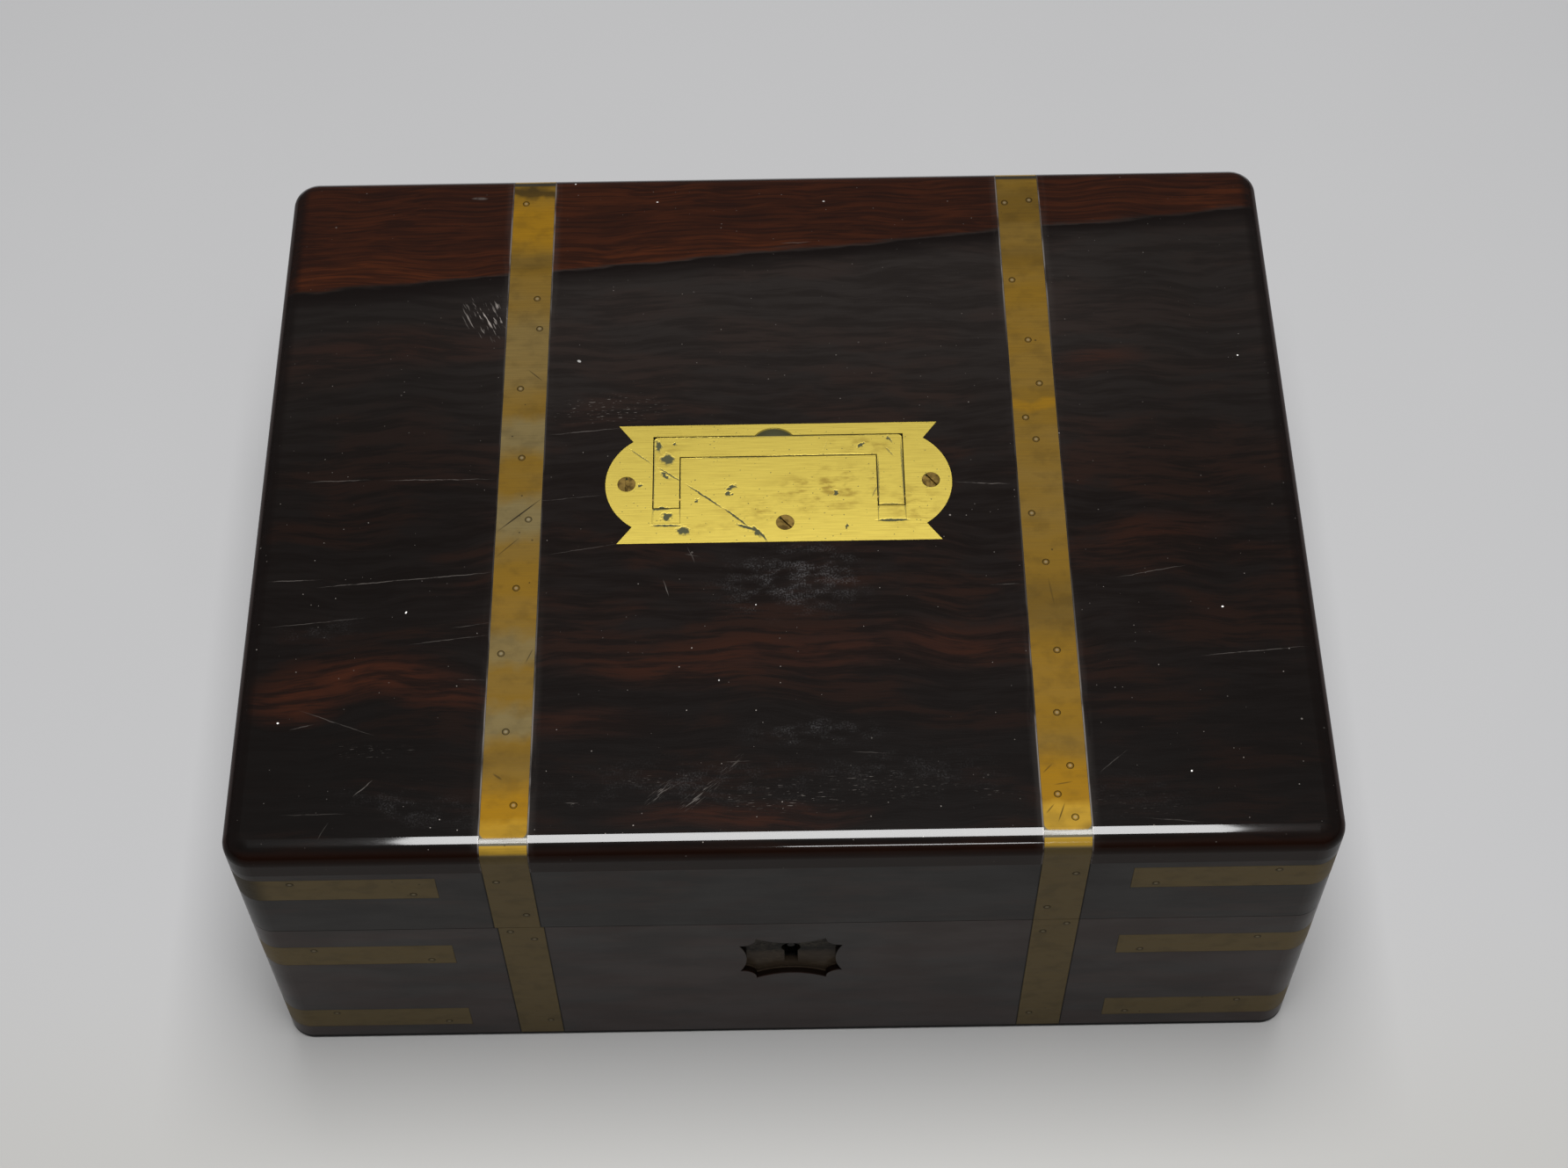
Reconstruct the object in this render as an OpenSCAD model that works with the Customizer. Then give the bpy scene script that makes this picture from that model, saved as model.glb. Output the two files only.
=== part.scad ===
// Brass-bound travelling box in dark figured wood, with a flush folding handle in its lid,
// a box lock in its front, butt hinges at its back and a lined lift-out tray inside.
// Front is -Y, right is +X, up is +Z. The origin is the middle of the underside.

/* [Case] */
// Overall width of the shut box, left to right
box_w = 305; // [285:1:330]
// Overall depth, front to back
box_d = 241; // [225:1:265]
// Overall height with the lid shut
box_h = 121; // [116:1:135]
// Height of the lid, from the seam to its top
lid_h = 45.5; // [42:0.5:48]
// Thickness of the upright boards of lid and base
wall_t = 11; // [10.5:0.5:13]
// Thickness of the lid's top board
top_t = 11; // [10:0.5:12]
// Thickness of the floor board
floor_t = 7; // [5:0.5:9]
// How far the floor board stands below the upright boards
foot_h = 0.9; // [0.6:0.1:1.6]
// Distance of the floor board's lip from the upright boards' faces
lip_inset = 0.5; // [0.2:0.1:2]
// How far the floor board reaches under the upright boards
floor_lap = 7; // [4:0.5:7.5]
// Radius of the upright corners
corner_r = 8; // [7:0.5:9.5]
// Radius of the rounding along the lid's top edges
edge_r = 5.6; // [4:0.2:6.4]
// Gap at the seam between lid and base
seam_gap = 0.2; // [0.1:0.05:0.4]

/* [Brass binding] */
// Thickness of every brass strap
strap_t = 1.2; // [0.8:0.1:1.6]
// Width of the straps that run front to back
strap_w = 12.9; // [11:0.1:16]
// Width of the straps round the corners
corner_strap_w = 11.8; // [9:0.2:13]
// Distance between a long strap and the corner straps beside it
corner_strap_gap = 12.5; // [8:0.1:24]
// Distance from the lid's top to its corner straps
lid_strap_drop = 14; // [12:0.5:17]
// Distance from the seam to the upper corner straps of the base
upper_strap_drop = 11; // [8:0.5:13]
// Distance from the upright boards' foot to the lower corner straps
lower_strap_rise = 7.8; // [6:0.2:10]
// Radius of the brass pins that hold the straps
pin_r = 1; // [0.6:0.05:1.2]
// Length of the strap pins
pin_l = 7; // [5:0.5:8]
// Step to the right of the left base straps from the lid strap above them
base_strap_step = 0.9; // [0:0.1:1.5]
// Distance of the strap pins from a strap's centre line
pin_stagger = 3.2; // [2:0.2:3.6]

/* [Flush handle] */
// Length of the handle plate over its round ends
plate_l = 101.6; // [97:0.2:105]
// Width of the handle plate over its ears
plate_w = 42; // [40:0.5:44]
// Thickness of the handle plate
plate_t = 5; // [4.6:0.1:5.6]
// Length of the handle plate over its ear tips
plate_ear_l = 94.2; // [92:0.2:96]
// Length of the handle plate between its notches
plate_notch_l = 85.6; // [84:0.2:87]
// Width of the handle plate between its notches
plate_notch_w = 30.4; // [28:0.2:32]
// Length of the folding bail over its two legs
bail_l = 73.2; // [68:0.2:76]
// Thickness of the bail
bail_t = 3; // [2.6:0.1:3.2]
// Width of the bail's grip
grip_w = 7.1; // [6:0.1:8]
// Width of each leg of the bail
leg_w = 7.5; // [6.5:0.1:8]
// Distance from the plate's centre line to the grip's far edge
grip_reach = 16.6; // [16:0.2:17]
// Distance from the plate's centre line to the ends of the legs
leg_reach = 8.6; // [8:0.1:9]
// Distance from a leg's end to its pivot
tail_l = 3.6; // [3.2:0.1:4]
// Length of the blocks that fill the channel beyond the legs
block_l = 5.3; // [4.5:0.1:5.8]
// Gap all round the bail in its channel
bail_gap = 0.35; // [0.2:0.05:0.45]
// Radius of the bail's pivot pins
pivot_r = 0.8; // [0.6:0.05:0.9]
// Length of the bail's pivot pins
pivot_l = 13; // [11:0.5:14]
// Radius of the thumb scoop at the plate's face
scoop_r = 7.2; // [6:0.2:8]
// Depth of the thumb scoop
scoop_deep = 3.4; // [2.6:0.1:3.6]
// Radius of the handle screws' heads
plate_screw_r = 2.6; // [2.2:0.1:2.8]
// Length of the handle screws
plate_screw_l = 9; // [8:0.25:9.5]
// Distance between the screws in the round ends
end_screw_l = 89.2; // [87:0.2:91]

/* [Lock] */
// Distance of the keyhole to the right of the box's middle
lock_x = 1.5; // [-5:0.5:5]
// Distance from the seam down to the keyhole's middle
key_drop = 23.2; // [22:0.2:25]
// Depth of the bare recess round the keyhole
recess_deep = 2.2; // [1.4:0.1:2.4]
// Width of the recess over its prongs
recess_w = 29.8; // [27:0.2:33]
// Height of the recess over its points
recess_h = 26.6; // [24:0.2:29]
// Width of the lock's case
case_w = 54; // [52:0.5:58]
// Height of the lock's case below its top plate
case_h = 29; // [28.5:0.5:32]
// Depth of the lock, from the board's inside to the front of its case
lock_deep = 6.8; // [6.6:0.1:7]
// Thickness of the lock's and link plate's top plates
face_t = 2; // [1.6:0.1:2.4]
// Length of the lock's and link plate's top plates
face_l = 72; // [70:0.5:76]
// Width of the lock's and link plate's top plates
face_w = 8; // [7.6:0.1:8.6]
// Distance between the two links of the link plate
link_span = 28; // [26:0.5:29]
// How far the bolt travels
bolt_throw = 5; // [4:0.1:5]

/* [Hinges] */
// Length of each butt hinge
hinge_l = 42; // [36:1:48]
// Distance from the box's back to the hinge axis
hinge_inset = 2.8; // [2.7:0.05:3.1]
// Radius of the hinge knuckles
knuckle_r = 2.6; // [2.3:0.05:2.65]
// Radius of the hinge pins
hinge_pin_r = 1.1; // [0.9:0.05:1.3]
// Thickness of the hinge leaves
leaf_t = 1.6; // [1.3:0.1:1.9]
// Width of the hinge leaves, from the axis
leaf_w = 7.4; // [7:0.1:7.6]
// Angle of each bevel along the back, from the seam
bevel_angle = 48; // [48:0.5:52]

/* [Inside] */
// Thickness of the liner boards inside the base
liner_t = 3; // [2.4:0.1:4]
// How far the liners stand above the seam
lip_h = 4.5; // [3:0.5:6]
// Thickness of the padded panel under the lid's top
lid_pad_t = 4; // [3:0.5:5]
// Thickness of the velvet linings
lining_t = 1.5; // [1:0.1:2]
// Height of the lift-out tray
tray_h = 30; // [24:0.5:32]
// How far the tray's top lies below the liners' top
tray_sink = 2; // [1.5:0.5:4]
// Thickness of the tray's sides
tray_t = 4; // [3:0.5:5]
// Thickness of the tray's floor
tray_floor_t = 2.5; // [2:0.5:4]
// Thickness of the tray's dividers
divider_t = 3; // [2.4:0.2:4]
// Depth of the long compartment at the tray's front
front_cell_d = 62; // [50:1:80]
// Width of the compartment at each end of the tray's back row
end_cell_w = 74; // [60:1:85]
// Height of the strips that carry the tray
rest_h = 5; // [4:0.5:8]
// Width of the strips that carry the tray
rest_w = 4; // [3:0.5:6]
// Height of the tray's knobs
knob_h = 6; // [5:0.5:7]
// Radius of the tray's knobs
knob_r = 3.2; // [2.8:0.2:4]

/* [Hidden] */
$fn = 64;

// Colours of the materials
dark_wood = [0.16, 0.11, 0.09];
inner_wood = [0.42, 0.24, 0.15];
old_brass = [0.62, 0.48, 0.20];
bright_brass = [0.80, 0.70, 0.32];
lock_steel = [0.45, 0.44, 0.42];
velvet = [0.12, 0.10, 0.28];

// How far cuts run past what they cut
over = 1;
// Gap round inlaid brass, screws, pins and lock parts
fit = 0.08;
// Radial clearance of pins that turn in their bores
run = 0.05;
// Clearance of pieces that slide or swing past each other
slip = 0.3;

// Places of the hinges and of the left and right straps that run front to back
hinge_place_share = 0.25;
strap_place_shares = [-0.2482, 0.2511];

// Case heights and half sizes
half_w = box_w / 2;
half_d = box_d / 2;
seam_z = box_h - lid_h;
base_top = seam_z - seam_gap / 2;
lid_low = seam_z + seam_gap / 2;
rail_top = box_h - top_t;
in_w = box_w - 2 * wall_t;
in_d = box_d - 2 * wall_t;
hinge_x = box_w * hinge_place_share;
lid_strap_places = box_w * strap_place_shares;
base_strap_places = lid_strap_places + [base_strap_step, 0];
corner_strap_l = half_w - lid_strap_places[1] - strap_w / 2 - corner_strap_gap;
hinge_y = half_d - hinge_inset;

// Heights of the corner straps' lower edges
lid_corner_z = box_h - lid_strap_drop - corner_strap_w;
upper_corner_z = seam_z - upper_strap_drop - corner_strap_w;
lower_corner_z = foot_h + lower_strap_rise;

// Places of strap pins: on each lid strap's top as shares of its width and length, then on the
// drops and the base straps as a side, 1 towards the box's middle, and a share of the height
top_pin_shares = [
    [
        [0.19, -0.46], [-0.05, -0.36], [-0.24, -0.25], [0.02, -0.155], [0.22, -0.052],
        [0, 0.044], [-0.11, 0.155], [0.27, 0.254], [0.18, 0.305], [-0.2, 0.472]
    ], [
        [0.17, -0.487], [-0.16, -0.456], [0.15, -0.418], [-0.04, -0.345], [0.07, -0.257],
        [-0.02, -0.128], [-0.25, -0.054], [-0.02, 0.061], [-0.22, 0.096], [0.16, 0.151],
        [-0.02, 0.223], [-0.29, 0.325], [-0.33, 0.461], [0.27, 0.465]
    ]
];
drop_pin_shares = [[1, 0.2], [-1, 0.72]];
base_pin_shares = [[1, 0.055], [1, 0.89], [-1, 0.963]];
corner_pin_shares = [0.3, 0.88];
corner_pin_stagger_share = 0.3;

// Handle places
plate_z = box_h - plate_t;
bail_z = box_h - bail_t;
channel_z = bail_z - bail_gap;
pivot_y = tail_l - leg_reach;
pivot_z = box_h - bail_t / 2;
tail_r = sqrt(pow(tail_l, 2) + pow(bail_t / 2, 2));
block_y = pivot_y - tail_r - run;
channel_y = block_y - block_l;
leg_x = (bail_l - leg_w) / 2;
bail_corner_r = 1.2;
end_x = (pow(plate_l, 2) - pow(plate_notch_l, 2) - pow(plate_notch_w, 2)) / 4
    / (plate_l - plate_notch_l);
end_r = plate_l / 2 - end_x;
scoop_x = -1.25;
scoop_y = 12.5;
scoop_ball_r = (pow(scoop_r, 2) + pow(scoop_deep, 2)) / (2 * scoop_deep);
mid_screw_x = 1.7;
mid_screw_y = -14.3;
plate_screws = [[-end_screw_l / 2, 0], [end_screw_l / 2, 0], [mid_screw_x, mid_screw_y]];
plate_screw_angles = [90, -52, -48];

// Screw proportions, as shares of the head's radius
shank_share = 0.52;
cone_share = 0.8;
slot_w_share = 0.26;
slot_deep_share = 0.34;

// Keyhole recess: a cartouche with prongs at its sides and points above and below
point_w_share = 0.685;
prong_h_share = 0.64;
top_sag_share = 0.117;
side_sag_share = 0.067;
nick_sag_share = 0.055;
key_z = seam_z - key_drop;

// Keyhole and lock places
key_rise = 2.8;
key_round_r = 2.8;
key_slot_w = 3.9;
key_slot_l = 9.8;
key_pin_r = 1.1;
key_pin_l = 8;
cap_t = 0.8;
lock_back_t = 1.2;
lock_tail_w = 6;
lock_in_y = wall_t - half_d;
cavity_d = lock_deep - lock_back_t - cap_t;
lock_mid_y = lock_in_y - lock_back_t - cavity_d / 2;
lock_cap_z = base_top - face_t - case_h;
back_plate_w = case_w + 2 * lock_tail_w;
face_y = lock_in_y - face_w / 2;

// Link plate and bolt
link_t = 2.5;
link_w = cavity_d - 2 * slip;
link_l = 9;
eye_w = 2.6;
eye_h = 3.6;
eye_rise = 1.8;
nose_w = eye_w - 2 * slip;
nose_h = eye_h - 2 * slip;
nose_z = lid_low - link_l + eye_rise + slip;
hook_gap = 0.5;
riser_w = 3;
bolt_bar_h = 4.5;
bolt_bar_z = lid_low - link_l - 2 * hook_gap - bolt_bar_h;
bolt_w = cavity_d - 2 * slip;
talon_w = 12;
talon_h = 4;
talon_notch_w = 4;
spring_t = 0.5;
spring_left = 4;
spring_w = 3;
lock_screw_r = 2;
lock_screw_l = 9;
lock_side_screw_l = 6;
lock_side_screw_rise = 6;

// Hinge places
knuckles = 5;
knuckle_gap = 0.15;
knuckle_l = (hinge_l - (knuckles - 1) * knuckle_gap) / knuckles;
trough_r = knuckle_r + slip;
hinge_screw_r = 2;
hinge_screw_l = 12;
hinge_screw_shares = [-0.34, 0, 0.34];
hinge_screw_y = hinge_y - leaf_w / 2 - knuckle_r / 2;

// Inside places
liner_w = in_w - 2 * slip;
liner_d = in_d - 2 * slip;
lip_z = seam_z + lip_h;
well_w = liner_w - 2 * liner_t;
well_d = liner_d - 2 * liner_t;
tray_gap = 0.5;
tray_w = well_w - 2 * tray_gap;
tray_d = well_d - 2 * tray_gap;
tray_top = lip_z - tray_sink;
tray_low = tray_top - tray_h;
cell_w = tray_w - 2 * tray_t;
cell_d = tray_d - 2 * tray_t;
long_divider_y = front_cell_d + divider_t / 2 - cell_d / 2;
cross_divider_x = cell_w / 2 - end_cell_w - divider_t / 2;
back_row_d = cell_d - front_cell_d - divider_t;
back_row_y = (cell_d - back_row_d) / 2;
middle_cell_w = cell_w - 2 * end_cell_w - 2 * divider_t;
divider_drop = 2;
knob_neck_share = 0.45;
knob_foot_share = 0.7;

// Shapes that several pieces share

// A rectangle with round corners
module rounded_outline(w, d, r) {
    square([w - 2 * r, d], center = true);
    square([w, d - 2 * r], center = true);
    if (r > 0)
        for (x = [-1, 1], y = [-1, 1])
            translate([x * (w / 2 - r), y * (d / 2 - r)]) circle(r = r);
}

// The points of an outline moved outwards by a distance
function unit(v) = v / norm(v);
function outward(a, b) = [unit(b - a)[1], -unit(b - a)[0]];
function grown(points, by) = [
    for (i = [0 : len(points) - 1])
        let (
            last = points[(i + len(points) - 1) % len(points)],
            next = points[(i + 1) % len(points)],
            n = outward(last, points[i]),
            m = outward(points[i], next)
        )
        points[i] + by * (n + m) / (1 + n * m)
];

// One of four boards round a rectangle, mitred at its ends; turn 0 is the front
module mitred_board(turn, w, d, t, low, high, r) {
    run_l = turn % 2 == 0 ? w : d;
    reach = turn % 2 == 0 ? d / 2 : w / 2;
    intersection() {
        translate([0, 0, low]) linear_extrude(high - low) rounded_outline(w, d, r);
        translate([0, 0, low - over]) rotate(90 * turn) linear_extrude(high - low + 2 * over)
            polygon([
                [-run_l / 2 - over, -reach - over], [run_l / 2 + over, -reach - over],
                [run_l / 2 - t, t - reach], [t - run_l / 2, t - reach]
            ]);
    }
}

// The rounded cross-section of the lid and base from the side, drawn in by a distance
module side_profile(inset) {
    r = edge_r - inset;
    d = box_d - 2 * inset;
    translate([-d / 2, -over]) square([d, box_h - edge_r + over]);
    translate([r - d / 2, -over]) square([d - 2 * r, box_h - inset + over]);
    for (y = [-1, 1]) translate([y * (d / 2 - r), box_h - edge_r]) circle(r = r);
}

// A slice of that cross-section, standing across the box at a place
module across(x, w) {
    translate([x, 0, 0]) rotate([90, 0, 90]) linear_extrude(w, center = true) children();
}

// A countersunk wood screw, its head at the origin, pointing down; grow 0 for the screw itself
module screw(r, l, angle, grow = 0) {
    cone_h = r * cone_share;
    shank_r = r * shank_share + grow;
    difference() {
        union() {
            translate([0, 0, -cone_h]) cylinder(h = cone_h, r1 = shank_r, r2 = r + grow);
            translate([0, 0, -l - grow]) cylinder(h = l - cone_h + grow, r = shank_r);
            if (grow > 0) cylinder(h = over, r = r + grow);
        }
        if (grow == 0)
            rotate(angle) translate([0, 0, (over - r * slot_deep_share) / 2])
                cube([3 * r, r * slot_w_share, r * slot_deep_share + over], center = true);
    }
}

// The V along the back that lets the lid swing and stops it, and the troughs for the knuckles
module back_relief() {
    reach = hinge_inset + over;
    across(0, box_w + 2 * over) polygon([
        [hinge_y, seam_z], [hinge_y + reach, seam_z - reach * tan(bevel_angle)],
        [hinge_y + reach, seam_z + reach * tan(bevel_angle)]
    ]);
    for (x = [-hinge_x, hinge_x]) translate([x, hinge_y, seam_z]) rotate([0, 90, 0])
        cylinder(h = hinge_l + 2 * slip, r = trough_r, center = true);
}

// Housings of the front-to-back straps at the given places, cut through the surface of the box
module strap_housing(places) {
    for (x = places) across(x, strap_w + 2 * fit) difference() {
        translate([-half_d - over, -over]) square([box_d + 2 * over, box_h + 2 * over]);
        side_profile(strap_t + fit);
    }
}

// A band round one corner of the box; grow 0 for the strap itself
module corner_band(sx, sy, low, grow) {
    inset = strap_t + grow;
    l = corner_strap_l + grow;
    out = grow > 0 ? over : 0;
    translate([0, 0, low - grow]) linear_extrude(corner_strap_w + 2 * grow) intersection() {
        difference() {
            if (grow > 0) square([box_w + 2 * over, box_d + 2 * over], center = true);
            else rounded_outline(box_w, box_d, corner_r);
            rounded_outline(box_w - 2 * inset, box_d - 2 * inset, corner_r - inset);
        }
        translate([sx * (half_w + out - (l + out) / 2), sy * (half_d + out - (l + out) / 2)])
            square(l + out, center = true);
    }
}

// A pin in the box's front or back face, or with turn 1 in a side face, its head flush
module face_pin(side, along, z, turn, grow) {
    reach = turn == 0 ? half_d : half_w;
    spin = turn == 0 ? 0 : 90;
    rotate(spin) translate([along, side * (reach + (grow > 0 ? over : 0)), z])
        rotate([side * 90, 0, 0]) cylinder(h = pin_l + grow + (grow > 0 ? over : 0), r = pin_r + grow);
}

// Pins of one corner band, two on each face
module corner_pins(sx, sy, low, grow) {
    mid = low + corner_strap_w / 2;
    rise = corner_strap_w * corner_pin_stagger_share;
    for (i = [0 : len(corner_pin_shares) - 1]) {
        along = corner_strap_l * corner_pin_shares[i];
        z = mid + (i % 2 == 0 ? rise : -rise);
        face_pin(sy, sx * (half_w - along), z, 0, grow);
        face_pin(-sx, sy * (half_d - along), z, 1, grow);
    }
}

// Pins of the lid's straps and corner bands
module lid_pins(grow) {
    for (i = [0, 1]) {
        for (share = top_pin_shares[i])
            translate([
                lid_strap_places[i] + share[0] * strap_w, share[1] * (box_d - 2 * edge_r),
                box_h - pin_l - grow
            ]) cylinder(h = pin_l + grow + (grow > 0 ? over : 0), r = pin_r + grow);
        for (y = [-1, 1], share = drop_pin_shares)
            face_pin(
                y, lid_strap_places[i] - sign(lid_strap_places[i]) * share[0] * pin_stagger,
                lid_low + share[1] * (lid_h - edge_r), 0, grow
            );
    }
    for (x = [-1, 1], y = [-1, 1]) corner_pins(x, y, lid_corner_z, grow);
}

// Pins of the base's straps and corner bands; the V along the back leaves no room for the top ones
module base_pins(grow) {
    for (x = base_strap_places, y = [-1, 1], i = [0 : y < 0 ? 2 : 1])
        face_pin(
            y, x - sign(x) * base_pin_shares[i][0] * pin_stagger,
            floor_t + base_pin_shares[i][1] * (base_top - floor_t), 0, grow
        );
    for (x = [-1, 1], y = [-1, 1], low = [upper_corner_z, lower_corner_z])
        corner_pins(x, y, low, grow);
}

// Case boards

// The bare recess round the keyhole, as an outline
module cartouche() {
    prong = [recess_w / 2, recess_h * prong_h_share / 2];
    point = [recess_w * point_w_share / 2, recess_h / 2];
    top_sag = recess_h * top_sag_share;
    side_sag = recess_w * side_sag_share;
    nick_sag = recess_w * nick_sag_share;
    top_r = (pow(point[0], 2) + pow(top_sag, 2)) / (2 * top_sag);
    side_r = (pow(prong[1], 2) + pow(side_sag, 2)) / (2 * side_sag);
    nick = norm(prong - point) / 2;
    nick_r = (pow(nick, 2) + pow(nick_sag, 2)) / (2 * nick_sag);
    nick_at = (prong + point) / 2 + outward(prong, point) * (nick_r - nick_sag);
    difference() {
        polygon([for (s = [[1, 1], [-1, 1], [-1, -1], [1, -1]], i = [0, 1])
            let (p = (s[0] * s[1] > 0 ? i : 1 - i) == 0 ? prong : point) [s[0] * p[0], s[1] * p[1]]]);
        for (y = [-1, 1]) translate([0, y * (point[1] - top_sag + top_r)]) circle(r = top_r);
        for (x = [-1, 1]) translate([x * (prong[0] - side_sag + side_r), 0]) circle(r = side_r);
        for (x = [-1, 1], y = [-1, 1]) translate([x * nick_at[0], y * nick_at[1]]) circle(r = nick_r);
    }
}

// The keyhole, as an outline round the key pin
module keyhole() {
    translate([0, key_rise]) circle(r = key_round_r);
    translate([-key_slot_w / 2, key_rise - key_slot_l]) square([key_slot_w, key_slot_l]);
}

// The key pin, on the middle of the keyhole's round part
module key_pin(grow) {
    translate([0, key_rise]) circle(r = key_pin_r + grow);
}

// An outline set upright at the keyhole, pressed in from the front by a depth
module at_keyhole(from_y, deep) {
    translate([lock_x, from_y, key_z]) rotate([90, 0, 0]) translate([0, 0, -deep])
        linear_extrude(deep) children();
}

// The room that the lock takes up in the front board
module lock_housing() {
    translate([lock_x - case_w / 2 - fit, lock_in_y - lock_deep - fit, lock_cap_z - fit])
        cube([case_w + 2 * fit, lock_deep + fit + over, case_h + face_t + over + fit]);
    translate([lock_x - back_plate_w / 2 - fit, lock_in_y - lock_back_t - fit, lock_cap_z - fit])
        cube([back_plate_w + 2 * fit, lock_back_t + fit + over, case_h + face_t + over + fit]);
    translate([lock_x - face_l / 2 - fit, lock_in_y - face_w - fit, base_top - face_t - fit])
        cube([face_l + 2 * fit, face_w + fit + over, face_t + fit + over]);
    lock_screw_set(fit);
}

// One upright board of the base, with what every base board has cut into it
module base_board(turn) {
    color(dark_wood) difference() {
        mitred_board(turn, box_w, box_d, wall_t, foot_h, base_top, corner_r);
        translate([0, 0, foot_h - over]) linear_extrude(floor_t - foot_h + over + fit)
            square([in_w + 2 * floor_lap + 2 * fit, in_d + 2 * floor_lap + 2 * fit], center = true);
        strap_housing(base_strap_places);
        for (x = [-1, 1], y = [-1, 1], low = [upper_corner_z, lower_corner_z])
            corner_band(x, y, low, fit);
        base_pins(fit);
        back_relief();
        children();
    }
}

// One upright board of the lid, with what every lid board has cut into it
module lid_board(turn) {
    color(dark_wood) difference() {
        mitred_board(turn, box_w, box_d, wall_t, lid_low, rail_top, corner_r);
        strap_housing(lid_strap_places);
        for (x = [-1, 1], y = [-1, 1]) corner_band(x, y, lid_corner_z, fit);
        lid_pins(fit);
        back_relief();
        children();
    }
}

module base_front() {
    base_board(0) {
        at_keyhole(-half_d - over, recess_deep + over) cartouche();
        at_keyhole(-half_d - over, wall_t) keyhole();
        lock_housing();
    }
}

module base_right() {
    base_board(1);
}

module base_back() {
    base_board(2) hinge_housing(-1);
}

module base_left() {
    base_board(3);
}

// The floor board: a panel between the upright boards, and a thin lip that they stand on
module base_floor() {
    color(dark_wood) {
        linear_extrude(floor_t) square([in_w + 2 * floor_lap, in_d + 2 * floor_lap], center = true);
        linear_extrude(foot_h)
            rounded_outline(box_w - 2 * lip_inset, box_d - 2 * lip_inset, corner_r - lip_inset);
    }
}

module lid_front() {
    lid_board(0) {
        translate([lock_x - face_l / 2 - fit, lock_in_y - face_w - fit, lid_low - over])
            cube([face_l + 2 * fit, face_w + fit + over, face_t + fit + over]);
        link_screw_set(fit);
    }
}

module lid_right() {
    lid_board(1);
}

module lid_back() {
    lid_board(2) hinge_housing(1);
}

module lid_left() {
    lid_board(3);
}

// The edge of the lid's top board in section, from a line inside it out to its rounding
module edge_section() {
    flat = corner_r - edge_r;
    square([corner_r, top_t - edge_r]);
    square([flat, top_t]);
    intersection() {
        translate([flat, top_t - edge_r]) circle(r = edge_r);
        translate([flat, top_t - edge_r]) square(edge_r);
    }
}

// The lid's top board, its upper edges rounded all round
module top_slab() {
    translate([0, 0, rail_top]) {
        linear_extrude(top_t) square([box_w - 2 * corner_r, box_d - 2 * corner_r], center = true);
        for (turn = [0 : 3]) {
            run_l = (turn % 2 == 0 ? box_w : box_d) - 2 * corner_r;
            reach = (turn % 2 == 0 ? half_d : half_w) - corner_r;
            rotate(90 * turn) {
                translate([0, -reach, 0]) rotate([90, 0, -90])
                    linear_extrude(run_l, center = true) edge_section();
                translate([run_l / 2, -reach, 0]) rotate(-90) rotate_extrude(angle = 90) edge_section();
            }
        }
    }
}

module lid_top() {
    color(dark_wood) difference() {
        top_slab();
        strap_housing(lid_strap_places);
        lid_pins(fit);
        translate([0, 0, plate_z - fit]) linear_extrude(plate_t + fit + over) plate_outline(fit);
        tail_pockets(pivot_z - tail_r - slip, over);
        for (s = plate_screws) translate([s[0], s[1], box_h]) screw(plate_screw_r, plate_screw_l, 0, fit);
    }
}

// Brass binding

module lid_strap(x) {
    color(old_brass) difference() {
        across(x, strap_w) difference() {
            side_profile(0);
            side_profile(strap_t);
            translate([-half_d - over, -2 * over]) square([box_d + 2 * over, lid_low + 2 * over]);
        }
        back_relief();
        lid_pins(fit);
    }
}

// The two base straps on one face: side -1 is the front, 1 the back
module base_straps(side) {
    color(old_brass) difference() {
        for (x = base_strap_places)
            translate([x - strap_w / 2, side * (half_d - strap_t / 2) - strap_t / 2, foot_h])
                cube([strap_w, strap_t, base_top - foot_h]);
        back_relief();
        base_pins(fit);
    }
}

module base_corner_straps(sx, sy) {
    color(old_brass) difference() {
        for (low = [upper_corner_z, lower_corner_z]) corner_band(sx, sy, low, 0);
        base_pins(fit);
    }
}

module lid_corner_strap(sx, sy) {
    color(old_brass) difference() {
        corner_band(sx, sy, lid_corner_z, 0);
        lid_pins(fit);
    }
}

module base_strap_pins() {
    color(old_brass) base_pins(0);
}

module lid_strap_pins() {
    color(old_brass) lid_pins(0);
}

// Flush handle

// The plate's outline: round ends, notches, and ears at its corners
module plate_outline(grow) {
    polygon(grown([
        [plate_ear_l / 2, -plate_w / 2], [plate_notch_l / 2, -plate_notch_w / 2],
        [plate_notch_l / 2, plate_notch_w / 2], [plate_ear_l / 2, plate_w / 2],
        [-plate_ear_l / 2, plate_w / 2], [-plate_notch_l / 2, plate_notch_w / 2],
        [-plate_notch_l / 2, -plate_notch_w / 2], [-plate_ear_l / 2, -plate_w / 2]
    ], grow));
    for (x = [-1, 1]) translate([x * end_x, 0]) circle(r = end_r + grow);
}

// The pockets that the legs' tails swing down into
module tail_pockets(low, above) {
    for (x = [-leg_x, leg_x])
        translate([x - leg_w / 2 - bail_gap, block_y, low])
            cube([leg_w + 2 * bail_gap, pivot_y + bail_t / 2 + run - block_y, plate_z - low + above]);
}

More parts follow.
